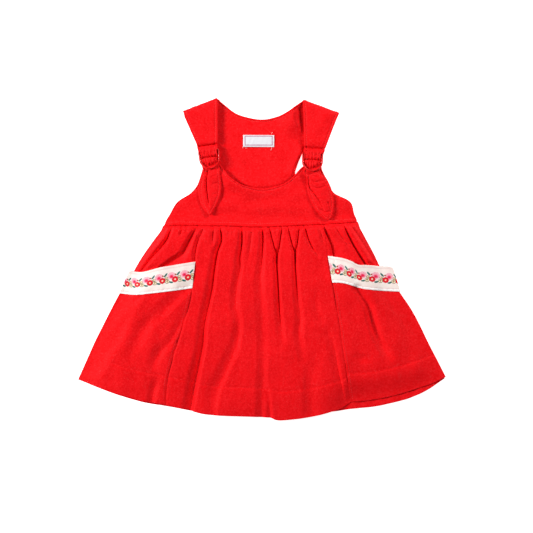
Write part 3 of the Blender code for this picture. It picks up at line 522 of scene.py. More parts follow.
def shell(node, grids, half=THIN, look=None, name=None, edges=None, uvs=None):
    """A closed wall of cloth with round edges, from grids of points and their distances to its edges."""
    edges = edges or [to_edges(p) for p in grids]
    uvs = uvs or [np.stack([lengths(p, 1), -lengths(p, 0)], axis=2) for p in grids]
    points, uv = (np.concatenate([p.reshape(-1, p.shape[2]) for p in some]) for some in (grids, uvs))
    edge = np.concatenate([d.ravel() for d in edges])
    quads, start = [], 0
    for p in grids:
        ids = start + np.arange(p[..., 0].size).reshape(p.shape[:2])
        corners = [ids[:-1, :-1], ids[1:, :-1], ids[1:, 1:], ids[:-1, 1:]]
        quads.append(np.stack(corners, axis=2).reshape(-1, 4))
        start += ids.size
    _, first, back = np.unique(np.round(points * 2000).astype(np.int64), axis=0,
                               return_index=True, return_inverse=True)
    points, edge, uv, quads = points[first], edge[first], uv[first], back.reshape(-1)[np.concatenate(quads)]
    normal = np.zeros_like(points)
    face = np.cross(points[quads[:, 2]] - points[quads[:, 0]], points[quads[:, 3]] - points[quads[:, 1]])
    for k in range(4):
        np.add.at(normal, quads[:, k], face)
    normal /= np.maximum(np.linalg.norm(normal, axis=1, keepdims=True), 1e-12)
    round_off = 1 - np.clip(edge / half, 0, 1)
    out = normal * half * np.sqrt(np.clip(1 - round_off ** 2, 0, 1))[:, None]
    inner = edge > 1e-9
    low_id = np.arange(len(points))
    low_id[inner] = len(points) + np.arange(inner.sum())
    verts = np.concatenate([points + out, (points - out)[inner]])
    verts[:, 2] = np.maximum(verts[:, 2], 0)
    faces = np.concatenate([quads, low_id[quads][:, ::-1]]).tolist()
    uv = np.concatenate([uv, uv[inner]])
    return mesh_piece(name or node + "_cloth", verts, faces, look or RED_COTTON, node, uv)


def on_top(name, x, y, above=60.0):
    """Points and normals where a line, seen from above, meets a piece."""
    verts, faces = PIECES[name]
    tree = BVHTree.FromPolygons(verts.tolist(), faces)
    hits = [tree.ray_cast(Vector((*spot, above)), Vector((0, 0, -1))) for spot in zip(x, y)]
    return tuple(np.array([hit[k][:] for hit in hits if hit[0] is not None]) for k in (0, 1))


# Thread

SIDES_ROUND = 6
ROUND = 2 * np.pi * np.arange(SIDES_ROUND) / SIDES_ROUND
STITCH_RINGS = ((0.12, 0.55), (0.5, 1.0), (0.88, 0.55))     # place along the stitch, share of its radius


def ring(middle, a, b, radius):
    return middle + (np.outer(np.cos(ROUND), a) + np.outer(np.sin(ROUND), b)) * radius


def tube_faces(first, rings):
    """Faces between rings of vertices, from the vertex numbered first."""
    ids = first + np.arange(rings * SIDES_ROUND).reshape(rings, SIDES_ROUND)
    after = np.roll(ids, -1, axis=1)
    return ids, after, np.stack([ids[:-1], ids[1:], after[1:], after[:-1]], axis=2).reshape(-1, 4).tolist()


def sew(name, lines, look, pitch=3.0, length=2.3, radius=0.24, sink=0.35):
    """Thread stitches along lines of (points, normals)."""
    verts, faces = [], []
    for points, normals in lines:
        if len(points) < 2:
            continue
        run = lengths(points)
        for k in range(int(run[-1] / pitch)):
            near = (k + 0.5) * pitch + np.array([-length / 2, 0, length / 2])
            p = np.stack([np.interp(near, run, points[:, c]) for c in range(3)], axis=1)
            n = np.array([np.interp(near[1], run, normals[:, c]) for c in range(3)])
            t = p[2] - p[0]
            size = np.linalg.norm(t)
            if size < 0.3 * length:
                continue
            t /= size
            n = n - t * np.dot(n, t)
            n /= max(np.linalg.norm(n), 1e-9)
            start = len(verts)
            verts.append(p[0] - n * radius * 0.4)
            for share, swell in STITCH_RINGS:
                middle = mix(p[0], p[2], share) + (p[1] - (p[0] + p[2]) / 2) * (1 - abs(2 * share - 1))
                middle += n * radius * (1 - sink) * swell
                verts += list(ring(middle, np.cross(t, n), n, radius * swell))
            ids, after, sides = tube_faces(start + 1, len(STITCH_RINGS))
            faces += sides
            faces += [(start, a, b) for a, b in zip(ids[0], after[0])]
            faces += [(b, a, len(verts)) for a, b in zip(ids[-1], after[-1])]
            verts.append(p[2] - n * radius * 0.4)
    return mesh_piece(name, np.array(verts), faces, look)


# Materials

def linear(red, green, blue):
    """Linear values of an sRGB colour given in 0 to 255."""
    parts = (c / 255 for c in (red, green, blue))
    return (*(c / 12.92 if c <= 0.04 else ((c + 0.055) / 1.055) ** 2.4 for c in parts), 1.0)


class Nodes:
    """A material's nodes, made one at a time."""

    def __init__(self, name):
        self.material = bpy.data.materials.new(name)
        self.material.use_nodes = True
        self.tree = self.material.node_tree
        self.tree.nodes.clear()
        self.shader = self.add("BsdfPrincipled")
        self.add("OutputMaterial", self.shader.outputs[0])
        self.where = self.add("TexCoord").outputs["Object"]

    def put(self, socket, value):
        if isinstance(value, bpy.types.NodeSocket):
            self.tree.links.new(value, socket)
        elif value is not None:
            socket.default_value = value

    def add(self, kind, *inputs, **settings):
        node = self.tree.nodes.new("ShaderNode" + kind)
        for key, value in settings.items():
            setattr(node, key, value)
        for socket, value in zip(node.inputs, inputs):
            self.put(socket, value)
        return node

    def math(self, operation, *inputs):
        return self.add("Math", *inputs, operation=operation).outputs[0]

    def vector(self, operation, *inputs):
        node = self.add("VectorMath", *inputs, operation=operation)
        return node.outputs["Value" if operation == "LENGTH" else "Vector"]

    def scaled(self, vector, factor):
        return self.vector("SCALE", vector, None, None, factor)

    def parts(self, vector):
        return self.add("SeparateXYZ", vector).outputs

    def spread(self, value, low, high, to_low=0.0, to_high=1.0):
        return self.add("MapRange", value, low, high, to_low, to_high,
                        interpolation_type="SMOOTHSTEP").outputs[0]

    def blend(self, factor, a, b, mode="MIX"):
        node = self.add("Mix", factor, data_type="RGBA", blend_type=mode)
        self.put(node.inputs[6], a)
        self.put(node.inputs[7], b)
        return node.outputs[2]

    def noise(self, vector, scale, detail=3.0, rough=0.5, output=0):
        return self.add("TexNoise", vector, None, scale, detail, rough).outputs[output]

    def finish(self, colour=None, height=None, strength=0, depth=0, **values):
        """Sets the shader's colour, bump and other values, and gives back the material."""
        if height is not None:
            bump = self.add("Bump", strength, depth)
            self.put(bump.inputs["Height"], height)
            values["Normal"] = bump.outputs[0]
        for key, value in dict(values, Base_Color=colour).items():
            self.put(self.shader.inputs[key.replace("_", " ")], value)
        return self.material


def weave(n, pitch, uneven=0.25):
    """A plain weave of that pitch in metres, from the cloth's own coordinates: a height from 0 to 1."""
    uv = n.add("UVMap", uv_map="cloth").outputs[0]
    parts = n.parts(n.vector("ADD", uv, n.scaled(n.noise(uv, 260, 2.0, output=1), pitch * uneven)))
    across, down = (n.math("SINE", n.math("MULTIPLY", part, 2 * math.pi / pitch)) for part in parts[:2])
    return uv, n.math("MULTIPLY_ADD", n.math("MULTIPLY", across, down), 0.5, 0.5)


def cotton():
    n = Nodes("red_cotton_weave")
    dark = linear(232, 8, 15)
    threads = weave(n, 0.00075)[1]
    slub = n.noise(n.where, 900, 2.0, 0.6)
    mottle = n.noise(n.where, 420, 3.0, 0.65)
    # painted highlight: pale pink flecks that stand in for the glints of the cloth's sheen
    glint_flecks = n.noise(n.where, 640, 2.0, 0.7)
    base = n.blend(n.spread(n.noise(n.where, 55, 4.0, 0.6), 0.3, 0.7), dark, linear(243, 13, 21))
    base = n.blend(n.spread(mottle, 0.35, 0.72), base, linear(250, 28, 35))
    # painted glints: the pale pink flecks blended into the cloth's colour
    base = n.blend(n.spread(glint_flecks, 0.56, 0.74, 0.0, 0.6), base, linear(255, 66, 68))
    # painted shade: the colour darkened in the weave's hollows, where its height is low
    base = n.blend(n.spread(threads, 0.0, 0.7, 0.12, 0.0), base, dark, "MULTIPLY")
    high = n.math("ADD", n.math("MULTIPLY", threads, 0.6), n.math("MULTIPLY", slub, 0.9))
    return n.finish(base, high, 0.35, 0.00022, Roughness=n.spread(mottle, 0.3, 0.7, 0.46, 0.58),
                    Specular_IOR_Level=0.04, Sheen_Weight=0.008, Sheen_Roughness=0.45,
                    Sheen_Tint=linear(255, 150, 150))


# The ribbon's flowers. Places are from the middle of the ring flower, in millimetres along the ribbon
# and across it; angles are in degrees.
# centre, radii, angle, soft edge, colour, petals, petal depth
PETALS = [
    ((-4.9, 5.3), (5.3, 5.1), 0, 0.08, (240, 132, 154), 9, 0.05),
    ((-4.9, 5.2), (4.7, 4.5), 0, 0.08, (252, 214, 220), 9, 0.05),
    ((-4.9, 5.1), (4.1, 3.9), 0, 0.10, (242, 142, 164), 7, 0.06),
    ((-4.9, 4.9), (3.6, 3.4), 0, 0.12, (250, 186, 198), 7, 0.08),
    ((-4.9, 4.5), (3.1, 2.9), 10, 0.25, (248, 92, 130), 7, 0.10),
    ((-4.8, 4.3), (1.9, 1.8), 0, 0.5, (234, 8, 66), 5, 0.10),
    ((-5.5, -3.5), (3.0, 1.35), -20, 0.15, (46, 118, 106), 0, 0),
    ((-5.3, -3.7), (2.4, 0.5), -20, 0.4, (22, 72, 72), 0, 0),
    ((0, 0), (4.4, 4.3), 0, 0.08, (212, 4, 24), 8, 0.04),
    ((0, 0.1), (3.2, 3.1), 0, 0.30, (234, 18, 38), 8, 0.08),
    ((0, 0), (1.25, 1.2), 0, 0.30, (244, 190, 160), 6, 0.10),
    ((0, 0.1), (0.8, 0.8), 0, 0.5, (252, 240, 214), 0, 0),
    ((0.5, 6.7), (1.25, 1.15), 0, 0.30, (160, 44, 8), 0, 0),
    ((1.9, 5.9), (0.8, 0.7), 0, 0.4, (204, 150, 60), 0, 0),
]
SPRIGS = [
    ((4.5, 7.3), (3.5, 1.4), 48, 0.15, (46, 118, 106), 0, 0),
    ((4.2, 7.0), (2.8, 0.5), 48, 0.4, (22, 72, 72), 0, 0),
    ((5.6, 2.9), (2.2, 2.0), 0, 0.12, (104, 66, 24), 0, 0),
    ((5.7, 3.0), (1.6, 1.4), 0, 0.2, (253, 238, 192), 0, 0),
    ((5.4, 3.0), (0.75, 0.65), 0, 0.4, (176, 70, 26), 0, 0),
    ((6.7, -1.6), (3.1, 3.0), 0, 0.10, (98, 62, 24), 6, 0.05),
    ((6.7, -1.5), (2.5, 2.4), 0, 0.12, (253, 242, 202), 6, 0.06),
    ((6.1, -0.7), (1.5, 0.42), 62, 0.35, (104, 62, 26), 0, 0),
    ((7.6, -0.8), (1.4, 0.42), -58, 0.35, (112, 70, 30), 0, 0),
    ((6.8, -2.5), (1.0, 0.45), 90, 0.35, (110, 50, 28), 0, 0),
    ((6.7, -1.2), (0.7, 0.7), 0, 0.4, (170, 70, 34), 0, 0),
]
FLOWER_DROP = -2.3         # the ring flower's middle, from the ribbon's
REPEAT = 17.4              # of the pattern along the ribbon
TABLE_MIDDLES = (-1.6, 6.2)    # where along the repeat each table's motifs lie


def flower_ribbon():
    n = Nodes("flower_ribbon")
    uv, threads = weave(n, 0.00062, 0.15)
    wander = n.vector("SUBTRACT", n.noise(uv, 420, 2.0, output=1), (0.5, 0.5, 0.5))
    along_it, across_it = n.parts(n.vector("ADD", n.scaled(uv, 1000.0), n.scaled(wander, 0.9)))[:2]
    cloth = n.noise(n.where, 120)
    colour = n.blend(n.spread(cloth, 0.35, 0.7), linear(249, 230, 223), linear(253, 241, 234))
    # painted shade: a pinkish darker line along both stitch grooves of the ribbon
    groove_shade_away = n.math("ABSOLUTE", n.math("SUBTRACT", n.math("ABSOLUTE", across_it), 14.1))
    colour = n.blend(n.spread(groove_shade_away, 0.3, 1.0, 0.5, 0.0), colour, linear(238, 200, 196))
    low_edge = n.math("MULTIPLY", across_it, -1.0)
    colour = n.blend(n.spread(low_edge, 14.4, 15.2), colour, linear(255, 251, 249))
    for middle, table in zip(TABLE_MIDDLES, (PETALS, SPRIGS)):
        u = n.math("WRAP", along_it, middle + REPEAT / 2, middle - REPEAT / 2)
        spot = n.add("CombineXYZ", u, n.math("SUBTRACT", across_it, FLOWER_DROP)).outputs[0]
        for centre, radii, angle, soft, paint, petals, depth in table:
            local = n.vector("SUBTRACT", spot, (*centre, 0))
            if angle:
                turned = n.add("VectorRotate", local, rotation_type="Z_AXIS")
                turned.inputs["Angle"].default_value = math.radians(-angle)
                local = turned.outputs[0]
            away = n.vector("LENGTH", n.vector("DIVIDE", local, (*radii, 1)))
            if petals:
                xy = n.parts(local)
                around = n.math("MULTIPLY", n.math("ARCTAN2", xy[1], xy[0]), float(petals))
                away = n.math("DIVIDE", away, n.math("MULTIPLY_ADD", n.math("COSINE", around), depth, 1.0))
            mask = n.spread(away, 1 - soft, 1 + soft * 0.6, 1.0, 0.0)
            colour = n.blend(mask, colour, linear(*paint))
    # painted shade: the ribbon's colour darkened in the weave's hollows, where its height is low
    colour = n.blend(n.spread(threads, 0.0, 0.6, 0.10, 0.0), colour, linear(214, 180, 170), "MULTIPLY")
    return n.finish(colour, threads, 0.3, 0.00018, Roughness=n.spread(cloth, 0.3, 0.7, 0.6, 0.75),
                    Specular_IOR_Level=0.3, Sheen_Weight=0.08)


def enamel():
    n = Nodes("red_enamel")
    worn = n.noise(n.where, 160)
    base = n.blend(n.spread(worn, 0.45, 0.75), linear(214, 10, 16), linear(238, 34, 36))
    return n.finish(base, n.noise(n.where, 700, 2.0), 0.08, 0.0002,
                    Roughness=n.spread(worn, 0.3, 0.7, 0.24, 0.36), Specular_IOR_Level=0.3)


def satin_label():
    """White satin with a thin woven line around its border."""
    n = Nodes("label_satin")
    uv, threads = weave(n, 0.0005, 0.1)
    parts = n.parts(n.scaled(uv, 1000.0))
    sides = [n.math("SUBTRACT", n.math("ABSOLUTE", n.math("SUBTRACT", part, middle)), half)
             for part, middle, half in zip(parts, (21.0, 8.5), (18.3, 6.0))]
    line = n.spread(n.math("ABSOLUTE", n.math("MAXIMUM", *sides)), 0.35, 0.8, 1.0, 0.0)
    uneven = n.spread(n.noise(uv, 900), 0.3, 0.6, 0.6, 1.0)
    colour = n.blend(n.math("MULTIPLY", line, uneven), linear(228, 226, 231), linear(170, 80, 124))
    return n.finish(colour, threads, 0.25, 0.00015, Roughness=n.spread(threads, 0, 1, 0.45, 0.6),
                    Sheen_Weight=0.1)


def thread(name, colour, dark):
    n = Nodes(name)
    twist = n.noise(n.where, 1500, 2.0)
    return n.finish(n.blend(n.spread(twist, 0.3, 0.7), linear(*dark), linear(*colour)), twist, 0.3, 0.0001,
                    Roughness=n.spread(twist, 0.3, 0.7, 0.45, 0.6), Sheen_Weight=0.1)


def pale_floor():
    return Nodes("pale_floor").finish((0.93, 0.93, 0.93, 1), Roughness=0.9, Specular_IOR_Level=0.1,
                                      Emission_Color=(1, 1, 1, 1), Emission_Strength=0.9)


# Looks: a material and its slot
RED_COTTON = cotton(), "red_cotton"
FLOWER_RIBBON = flower_ribbon(), "woven_ribbon"
RING_ENAMEL = enamel(), "red_enamel"
LABEL_SATIN = satin_label(), "label_satin"
RED_THREAD = thread("red_thread", (246, 46, 50), (210, 16, 22)), "red_cotton"
HEM_THREAD = thread("hem_thread", (240, 20, 28), (214, 10, 18)), "red_cotton"
PALE = thread("pale_thread", (252, 236, 232), (226, 196, 196))
RIBBON_THREAD, LABEL_THREAD = (PALE, "woven_ribbon"), (PALE, "label_satin")


# Skirt

HANDS = ("left", "right")
UPPER_CREASES = {"left": LEFT_CREASES, "right": RIGHT_CREASES}
# Columns of the centre panel follow its long creases, so that each has a clean edge.
C2, C4, C6, C7, C8, C10 = (CENTRE_CREASES[name][0] for name in ("c2", "c4", "c6", "c7", "c8", "c10"))
GUIDES = [
    [(-56.5, 46)] + C2[1:] + [(-98, -214)],
    [(-27, 46)] + C4[1:-1] + [(-66, -214)],
    [(0, 46)] + C6[1:-1] + [(0, -218)],
    [(18, 46)] + C7 + [(26, -170), (24, -218)],
    [(42.5, 46)] + C8 + [(66, -214)],
    [(64, 48), (72, 10), (80, -50)] + C10[:-1] + [(112, -203)],
]
GUIDE_COLUMNS = (32, 34, 46, 30, 34, 38, 16)
FRONT_ROWS = 196
FRONT_DROP = 255           # length of the panel from waist to hem
GUIDE_TOP, GUIDE_FOOT = 45, -208   # heights at which the columns' ends are found
TUCK = 0.6                 # how far the skirt's cloth goes up under the waist seam
SIDE_DROP = 230            # length of a side panel
SIDE_SEEN = 0.33           # the share of it with close rows: what shows above the mouth, and a little more
POCKET_U = rimmed(104, 110)
RIBBON_WIDTH = 35.5
# Where each ring flower of the ribbon comes, outer end to seam, for the folds that squeeze the pattern
FLOWER_X = {"left": (-181.2, -167.4, -150, -133.4, -116.4, -99.2),
            "right": (202, 184, 166.4, 147.4, 130, 117.1, 101.8)}


def facing(side, p):
    """A grid that runs from the outer edge to the seam, with its faces turned up."""
    return p if side == "left" else p[:, ::-1]


def skirt_front():
    lines = [SEAM_LEFT, *GUIDES, SEAM_RIGHT]
    rim, last = np.array(RIM[1:]), len(GUIDE_COLUMNS)
    u = [k + shares(count, 0.55)[:-1] for k, count in enumerate(GUIDE_COLUMNS)]
    u = np.sort(np.concatenate(u + [rim / 30, last - rim / 12, [last]]))
    k = np.clip(np.floor(u).astype(int), 0, last - 1)
    x_top, x_foot = (np.interp(u, np.arange(len(lines)), [across_at(line, y) for line in lines])
                     for y in (GUIDE_TOP, GUIDE_FOOT))
    v = rimmed(FRONT_ROWS, FRONT_DROP, -0.25)[:, None]
    y = mix(height_of(WAIST, x_top) + TUCK, height_of(HEM_FRONT, x_foot), v)
    table = np.stack([across_at(line, y) for line in lines], axis=-1)
    pick = np.arange(len(u))
    x = mix(table[:, pick, k], table[:, pick, k + 1], u - k)
    z = front_height(x, y, LEFT_CREASES + RIGHT_CREASES)
    z = with_hem(x, y, z - seam_dip(x, y, SEAM_LEFT) - seam_dip(x, y, SEAM_RIGHT), HEM_FRONT)
    return shell("skirt_front", [grid(x, y, z - waist_dip(x, y))])


def skirt_side(side):
    rim = np.array(RIM[1:]) / SIDE_DROP
    seen, hidden = shares(84)[:-1] * SIDE_SEEN, mix(SIDE_SEEN, 1, shares(22))
    v = np.sort(np.concatenate([seen, hidden, rim, 1 - rim]))
    u = rimmed(74, 60)
    inner, outer = along(SEAMS[side], v), along(SIDES[side], v)
    x = mix(outer[:, :1], inner[:, :1], u)
    y = mix(outer[:, 1:], inner[:, 1:] + 2 * ease(v)[:, None], u)
    y += (height_of(WAIST, x) + TUCK - y) * (1 - ease(v / 0.04))[:, None]
    z = front_height(x, y, UPPER_CREASES[side]) - seam_dip(x, y, SEAMS[side])
    z -= waist_dip(x, y)
    below = height_of(BAND_TOP[side], x) - y
    z = mix(z, np.minimum(z, pocket_height(x, y, side) - 1.0), ease((below + 7) / 7))
    z = mix(z, np.minimum(z, FRONT_Z + 0.2), ease((below - 3) / 20))
    return shell("skirt_side_" + side, [facing(side, grid(x, y, z))])


def pocket_plan(side, band, low=()):
    """x and y of a pocket: shares down the ribbon, then shares from the ribbon's foot to the hem."""
    hem = HEMS[side] if side == "left" else HEMS[side][::-1]
    a, b, c = (along(edge, POCKET_U) for edge in (BAND_TOP[side], BAND_FOOT[side], hem))
    upper = mix(a, b, band[:, None, None])
    low = np.asarray(low, float)[:, None]
    edge_x = across_at(POCKET_SIDE[side], mix(b[0, 1], c[0, 1], low))
    seam_x = across_at(SEAMS[side], mix(b[-1, 1], c[-1, 1], low))
    lower = grid(mix(edge_x, seam_x, POCKET_U), mix(b[:, 1], c[:, 1], low))
    return np.moveaxis(np.concatenate([upper, lower]), 2, 0)


def pocket_height(x, y, side):
    from_seam = np.abs(x - across_at(SEAMS[side], y))
    z = front_height(x, y, POCKET_CREASES, FOLD_FLOOR, 11, POCKET_REACH)
    z -= creases(x, y, UPPER_CREASES[side]) * (1 - ease((from_seam - 2) / 9))
    rise = mix(MOUTH_RISE, BAND_RISE, ease(from_seam / 15))
    rise *= 1 - ease((height_of(BAND_FOOT[side], x) - y) / 50)
    return z + rise - seam_dip(x, y, SEAMS[side])


def pocket(side):
    low = rimmed(104, 140, start=False)[1:]
    x, y = pocket_plan(side, rimmed(34, 36, end=False), low)
    z = with_hem(x, y, pocket_height(x, y, side), HEMS[side])
    from_seam = np.abs(x - across_at(SEAMS[side], y))
    z -= 0.25 * bell((from_seam - STITCH_IN) / 0.8)
    return shell("pocket_" + side, [facing(side, grid(x, y, z))])


def ribbon(side):
    band = 0.008 + 0.998 * rimmed(46, 36)
    x, y = pocket_plan(side, band)
    z = pocket_height(x, y, side)
    # Which way the pattern counts, and how far the ends pass the pocket's outer edge and seam
    way, longer, seamward = (1, -0.8, 1.3) if side == "left" else (-1, 1.5, -1.0)
    x = x + longer * (1 - ease(POCKET_U / 0.2)) + seamward * ease(POCKET_U / 0.2 - 4)
    down = band[:, None] * RIBBON_WIDTH
    for at in BAND_STITCHES:
        z -= 0.22 * bell((down - at) / 0.7)
    z += 0.16 * ripples(x, y, 29, 5, 1.0) * bell((down - 33.5) / 3.5)
    p = grid(x, y, z)
    p += upward(p) * (THIN + TAPE + 0.06)
    flowers, place = way * np.array(FLOWER_X[side]), way * x
    phase = np.interp(place, flowers, REPEAT * np.arange(len(flowers)))
    phase += np.minimum(place - flowers[0], 0) * REPEAT / (flowers[1] - flowers[0])
    phase += np.maximum(place - flowers[-1], 0)
    p, uv = facing(side, p), facing(side, grid(phase, RIBBON_WIDTH / 2 - down))
    return shell("band_" + side, [p], TAPE, FLOWER_RIBBON, "ribbon_" + side, uvs=[uv]), p


def skirt_back():
    v, u = rimmed(120, 250), rimmed(170, 400)
    x = mix(along(SIDE_LEFT, v)[:, :1], along(SIDE_RIGHT, v)[:, :1], u)
    top, foot = (height_of(edge, mix(edge[0][0], edge[-1][0], u)) for edge in (WAIST, HEM_BACK))
    y = mix(top - 0.1, foot, v[:, None])
    y[0] = height_of(WAIST, x[0]) - 0.1
    from_waist = height_of(WAIST, x) - y
    spread = mix(1.0, 1.7, ease(from_waist / 240))
    wave = ripples(x / spread, y, 17, 15, 1.0, 9.0) + 0.6 * ripples(x, y, 18, 40, 1.0, 3.0)
    free = ease(from_sides(x, y) / 16) * ease(from_waist / 9)
    z = BACK_Z - 0.1 + free * np.clip(0.55 + 0.6 * wave, 0, 1.25)
    return shell("skirt_back", [grid(x, y, z)])


# Bodice

ENTRY_LINES = (0.0, 0.05, 0.2, 0.55, 1.1, 1.8, 2.5, 3.3, 4.1, 5.0)     # from both edges of a strip
STITCH_COLUMN = ENTRY_LINES.index(STITCH_IN)
LOOP_ROWS = len(STRAP_FOOT) + len(STRAP_LOOP)
ROW_PITCH = 1.15
ON_BACK = 15.0             # rows past a strap's loop, where its cloth lies as part of the back
MIDDLE_ROWS = 16           # of the bodice front, between its two armholes
BACK_COLUMNS, FRONT_COLUMNS = 26, 36
BODICE_LEFT, BODICE_RIGHT = -131, 127.5
NECK_LINE = np.array([r[0] for r in BODICE_ROWS["left"]] + NECK_FRONT
                     + [r[0] for r in BODICE_ROWS["right"][::-1]], float).T


def in_buckle(side, across, below, z):
    """The point at those measures from a buckle's own middle, outwards and down."""
    buckle = BUCKLES[side]
    turn, out = math.radians(buckle["turn"]), across * buckle["outer"]
    return (buckle["x"] + out * math.cos(turn) + below * math.sin(turn),
            buckle["y"] + out * math.sin(turn) - below * math.cos(turn), z)


def level(rows, z):
    """Rows of an inner and an outer point, all put at one height."""
    return [((*a, z), (*b, z)) for a, b in rows]


def strap_rows(side):
    loop = [(below, FRONT_Z + rise, half) for below, rise, half in STRAP_FOOT]
    loop += [(below, LOOP_TOP_Z - lower, half) for below, lower, half in STRAP_LOOP]
    rows = []
    for below, z, half in loop:
        inner, outer = (swing * ease((-5 - below) / 5) for swing in BUCKLES[side]["swing"])
        rows.append((in_buckle(side, inner - half, below, z), in_buckle(side, outer + half, below, z)))
    return rows


def shoulder_rows(side):
    """Rows over the strap's fold at the shoulder, down its back."""
    inner, outer = (np.array([*end, 0.0]) for end in SHOULDER[side])
    line = (outer - inner) / np.linalg.norm(outer - inner)
    away = np.array([-line[1], line[0], 0.0])
    away *= np.sign(away[1])
    rows = []
    for step in range(7):
        angle = math.radians(90 - 30 * step)
        shift = away * (SHOULDER_RADIUS * (math.cos(angle) - 1) - LINED)
        shift[2] = BACK_Z + SHOULDER_RADIUS * (1 + math.sin(angle))
        slide = line * (NECK_SLIDE * (math.cos(angle) - 1) if step > 3 else 0)
        rows.append((inner + shift + slide, outer + shift))
    return rows


def dense_rows(rows, corners=()):
    """Inner ends, outer ends and places of many rows on the smooth strip through a few."""
    ends = np.array(rows, float)
    step = np.linalg.norm(np.diff(ends, axis=0), axis=2).max(axis=1)
    counts = np.maximum(np.ceil(step / ROW_PITCH), 1).astype(int)
    places = [k + np.arange(count) / count for k, count in enumerate(counts)]
    places = np.concatenate(places + [[len(rows) - 1]])
    return hermite(ends[:, 0], places, corners), hermite(ends[:, 1], places, corners), places


def strip_grid(inner, outer, middle):
    """A grid of points between two edges, with lines close together at both. Also how far across each
    point is, as a share and from both edges."""
    size = np.linalg.norm(outer - inner, axis=1)[:, None]
    near = np.array(ENTRY_LINES) * np.minimum(1, size / 2 / 5.8)
    inside = mix(near[:, -1:], size - near[:, -1:], np.linspace(0, 1, middle))
    at = np.concatenate([near[:, :-1], inside, size - near[:, -2::-1]], axis=1)
    t = at / size
    return mix(inner[:, None], outer[:, None], t[..., None]), t, at, size - at


def edge_finish(away):
    """Relief beside a finished edge: the stitched groove and the plump fold outside it."""
    return 0.3 * bell((away - 1.5) / 1.1) - 0.55 * bell((away - STITCH_IN) / 0.85)


def wrinkles(x, y):
    """The soft unevenness of the bodice's back."""
    return np.clip(ripples(x, y, 41, 30, 0.28) + ripples(x, y, 42, 12, 0.07), -0.05, 0.6)


def half_back(side):
    front = [((*a, z + 0.15), (*b, z + 0.15)) for a, b, z in STRAP_FRONT[side]]
    return strap_rows(side) + front + shoulder_rows(side) + level(BACK_ROWS[side], BACK_Z)


def strap_relief(past, t, away):
    """How far a strap's cloth stands off its smooth strip, at so many rows past its loop."""
    on_loop = ease((past + len(STRAP_LOOP) + 3) / 2) * (1 - ease((past + 2.4) / 1.5))
    draw = np.sin(away * 2 * np.pi / 2.9 + 1.1 * np.sin(away * 0.9)) * 0.5
    draw += np.sin(away * 2 * np.pi / 4.7 + 2.0) * 0.35
    relief = on_loop * draw * 0.75 - 1.7 * bell((past + 0.74) / 0.26)
    relief += 1.4 * ease((past + 0.66) / 0.4) * (1 - ease(past / 1.5))
    on_front = ease(past + 0.4) * (1 - ease((past - 3.5) / 0.8))
    return relief + on_front * 0.8 * (4 * t * (1 - t)) ** 0.6


def bodice_back():
    left, right = (dense_rows(half_back(side)) for side in HANDS)
    u = rimmed(196, 120)
    top, left_x, right_x = BACK_SIDES[0]
    neck = grid(*along(NECK_BACK, u).T[:, None], BACK_Z)[0]
    foot = grid(mix(left_x, right_x, u[None]), top, BACK_Z)[0]
    inner = np.concatenate([left[0], neck[1:-1], right[0][::-1]])
    outer = np.concatenate([left[1], foot[1:-1], right[1][::-1]])
    p, t, away_in, away_out = strip_grid(inner, outer, BACK_COLUMNS)
    a, b = len(left[0]), len(left[0]) + len(u) - 2
    own = np.ones(len(p), bool)
    own[a:b] = False
    places = np.concatenate([left[2], np.full(b - a, LOOP_ROWS + ON_BACK), right[2][::-1]])
    past = places[:, None] - LOOP_ROWS
    flat = ease((past - 10.5) / 1.5)
    x, y = p[..., 0], p[..., 1]
    relief = edge_finish(away_in) + np.where(own[:, None], edge_finish(away_out), 0)
    relief += strap_relief(past, t, away_in)
    relief += wrinkles(x, y) * flat * ease(away_in / 8) * np.where(own[:, None], ease(away_out / 8), 1)
    relief += ripples(x, y, 43, 22, 0.35, 1.6) * (1 - flat) * ease(past / 1.5)
    relief -= creases(x, y, (SHOULDER_HOLLOW, ARMHOLE_RIDGE)) * flat
    p = p + upward(p) * relief[..., None]

    v = rimmed(64, 86, start=False)
    left, right = (hermite([(row[k], row[0]) for row in BACK_SIDES] + [end], v * len(BACK_SIDES))
                   for k, end in ((1, WAIST[0]), (2, WAIST[-1])))
    x, y = np.moveaxis(mix(left[:, None], right[:, None], u[:, None]), 2, 0)
    y = y + (height_of(WAIST, x) - mix(WAIST[0][1], WAIST[-1][1], u)) * ease(v)[:, None] ** 2
    width = (right - left)[:, :1]
    from_left, from_right = u * width, (1 - u) * width
    z = BACK_Z + (edge_finish(from_left) + edge_finish(from_right)) * (1 - ease((75 - y) / 4))
    neck_y, next_y = np.interp(x, *NECK_LINE), np.interp(x + 1, *NECK_LINE)
    off_neck = (y - neck_y) / np.hypot(1, next_y - neck_y)
    step = ease(off_neck / 1.9) * (1 - ease((off_neck - 6) / 26)) * ease((129 - y) / 10)
    z += NECK_STEP * step * ease((x + 38) / 16) * (1 - ease((x - 40) / 9))
    z += wrinkles(x, y) * ease(from_left / 8) * ease(from_right / 8) * ease((y - 46) / 8)
    body = grid(x, y, z - crease(x, y, *ARMHOLE_RIDGE))
    body[0] = p[a - 1:b + 1, -1]
    body = body[:, ::-1]
    edges = [to_edges(p, right=own), to_edges(body, top=False)]
    return shell("bodice_back", [p, body], LINED, edges=edges), p, own


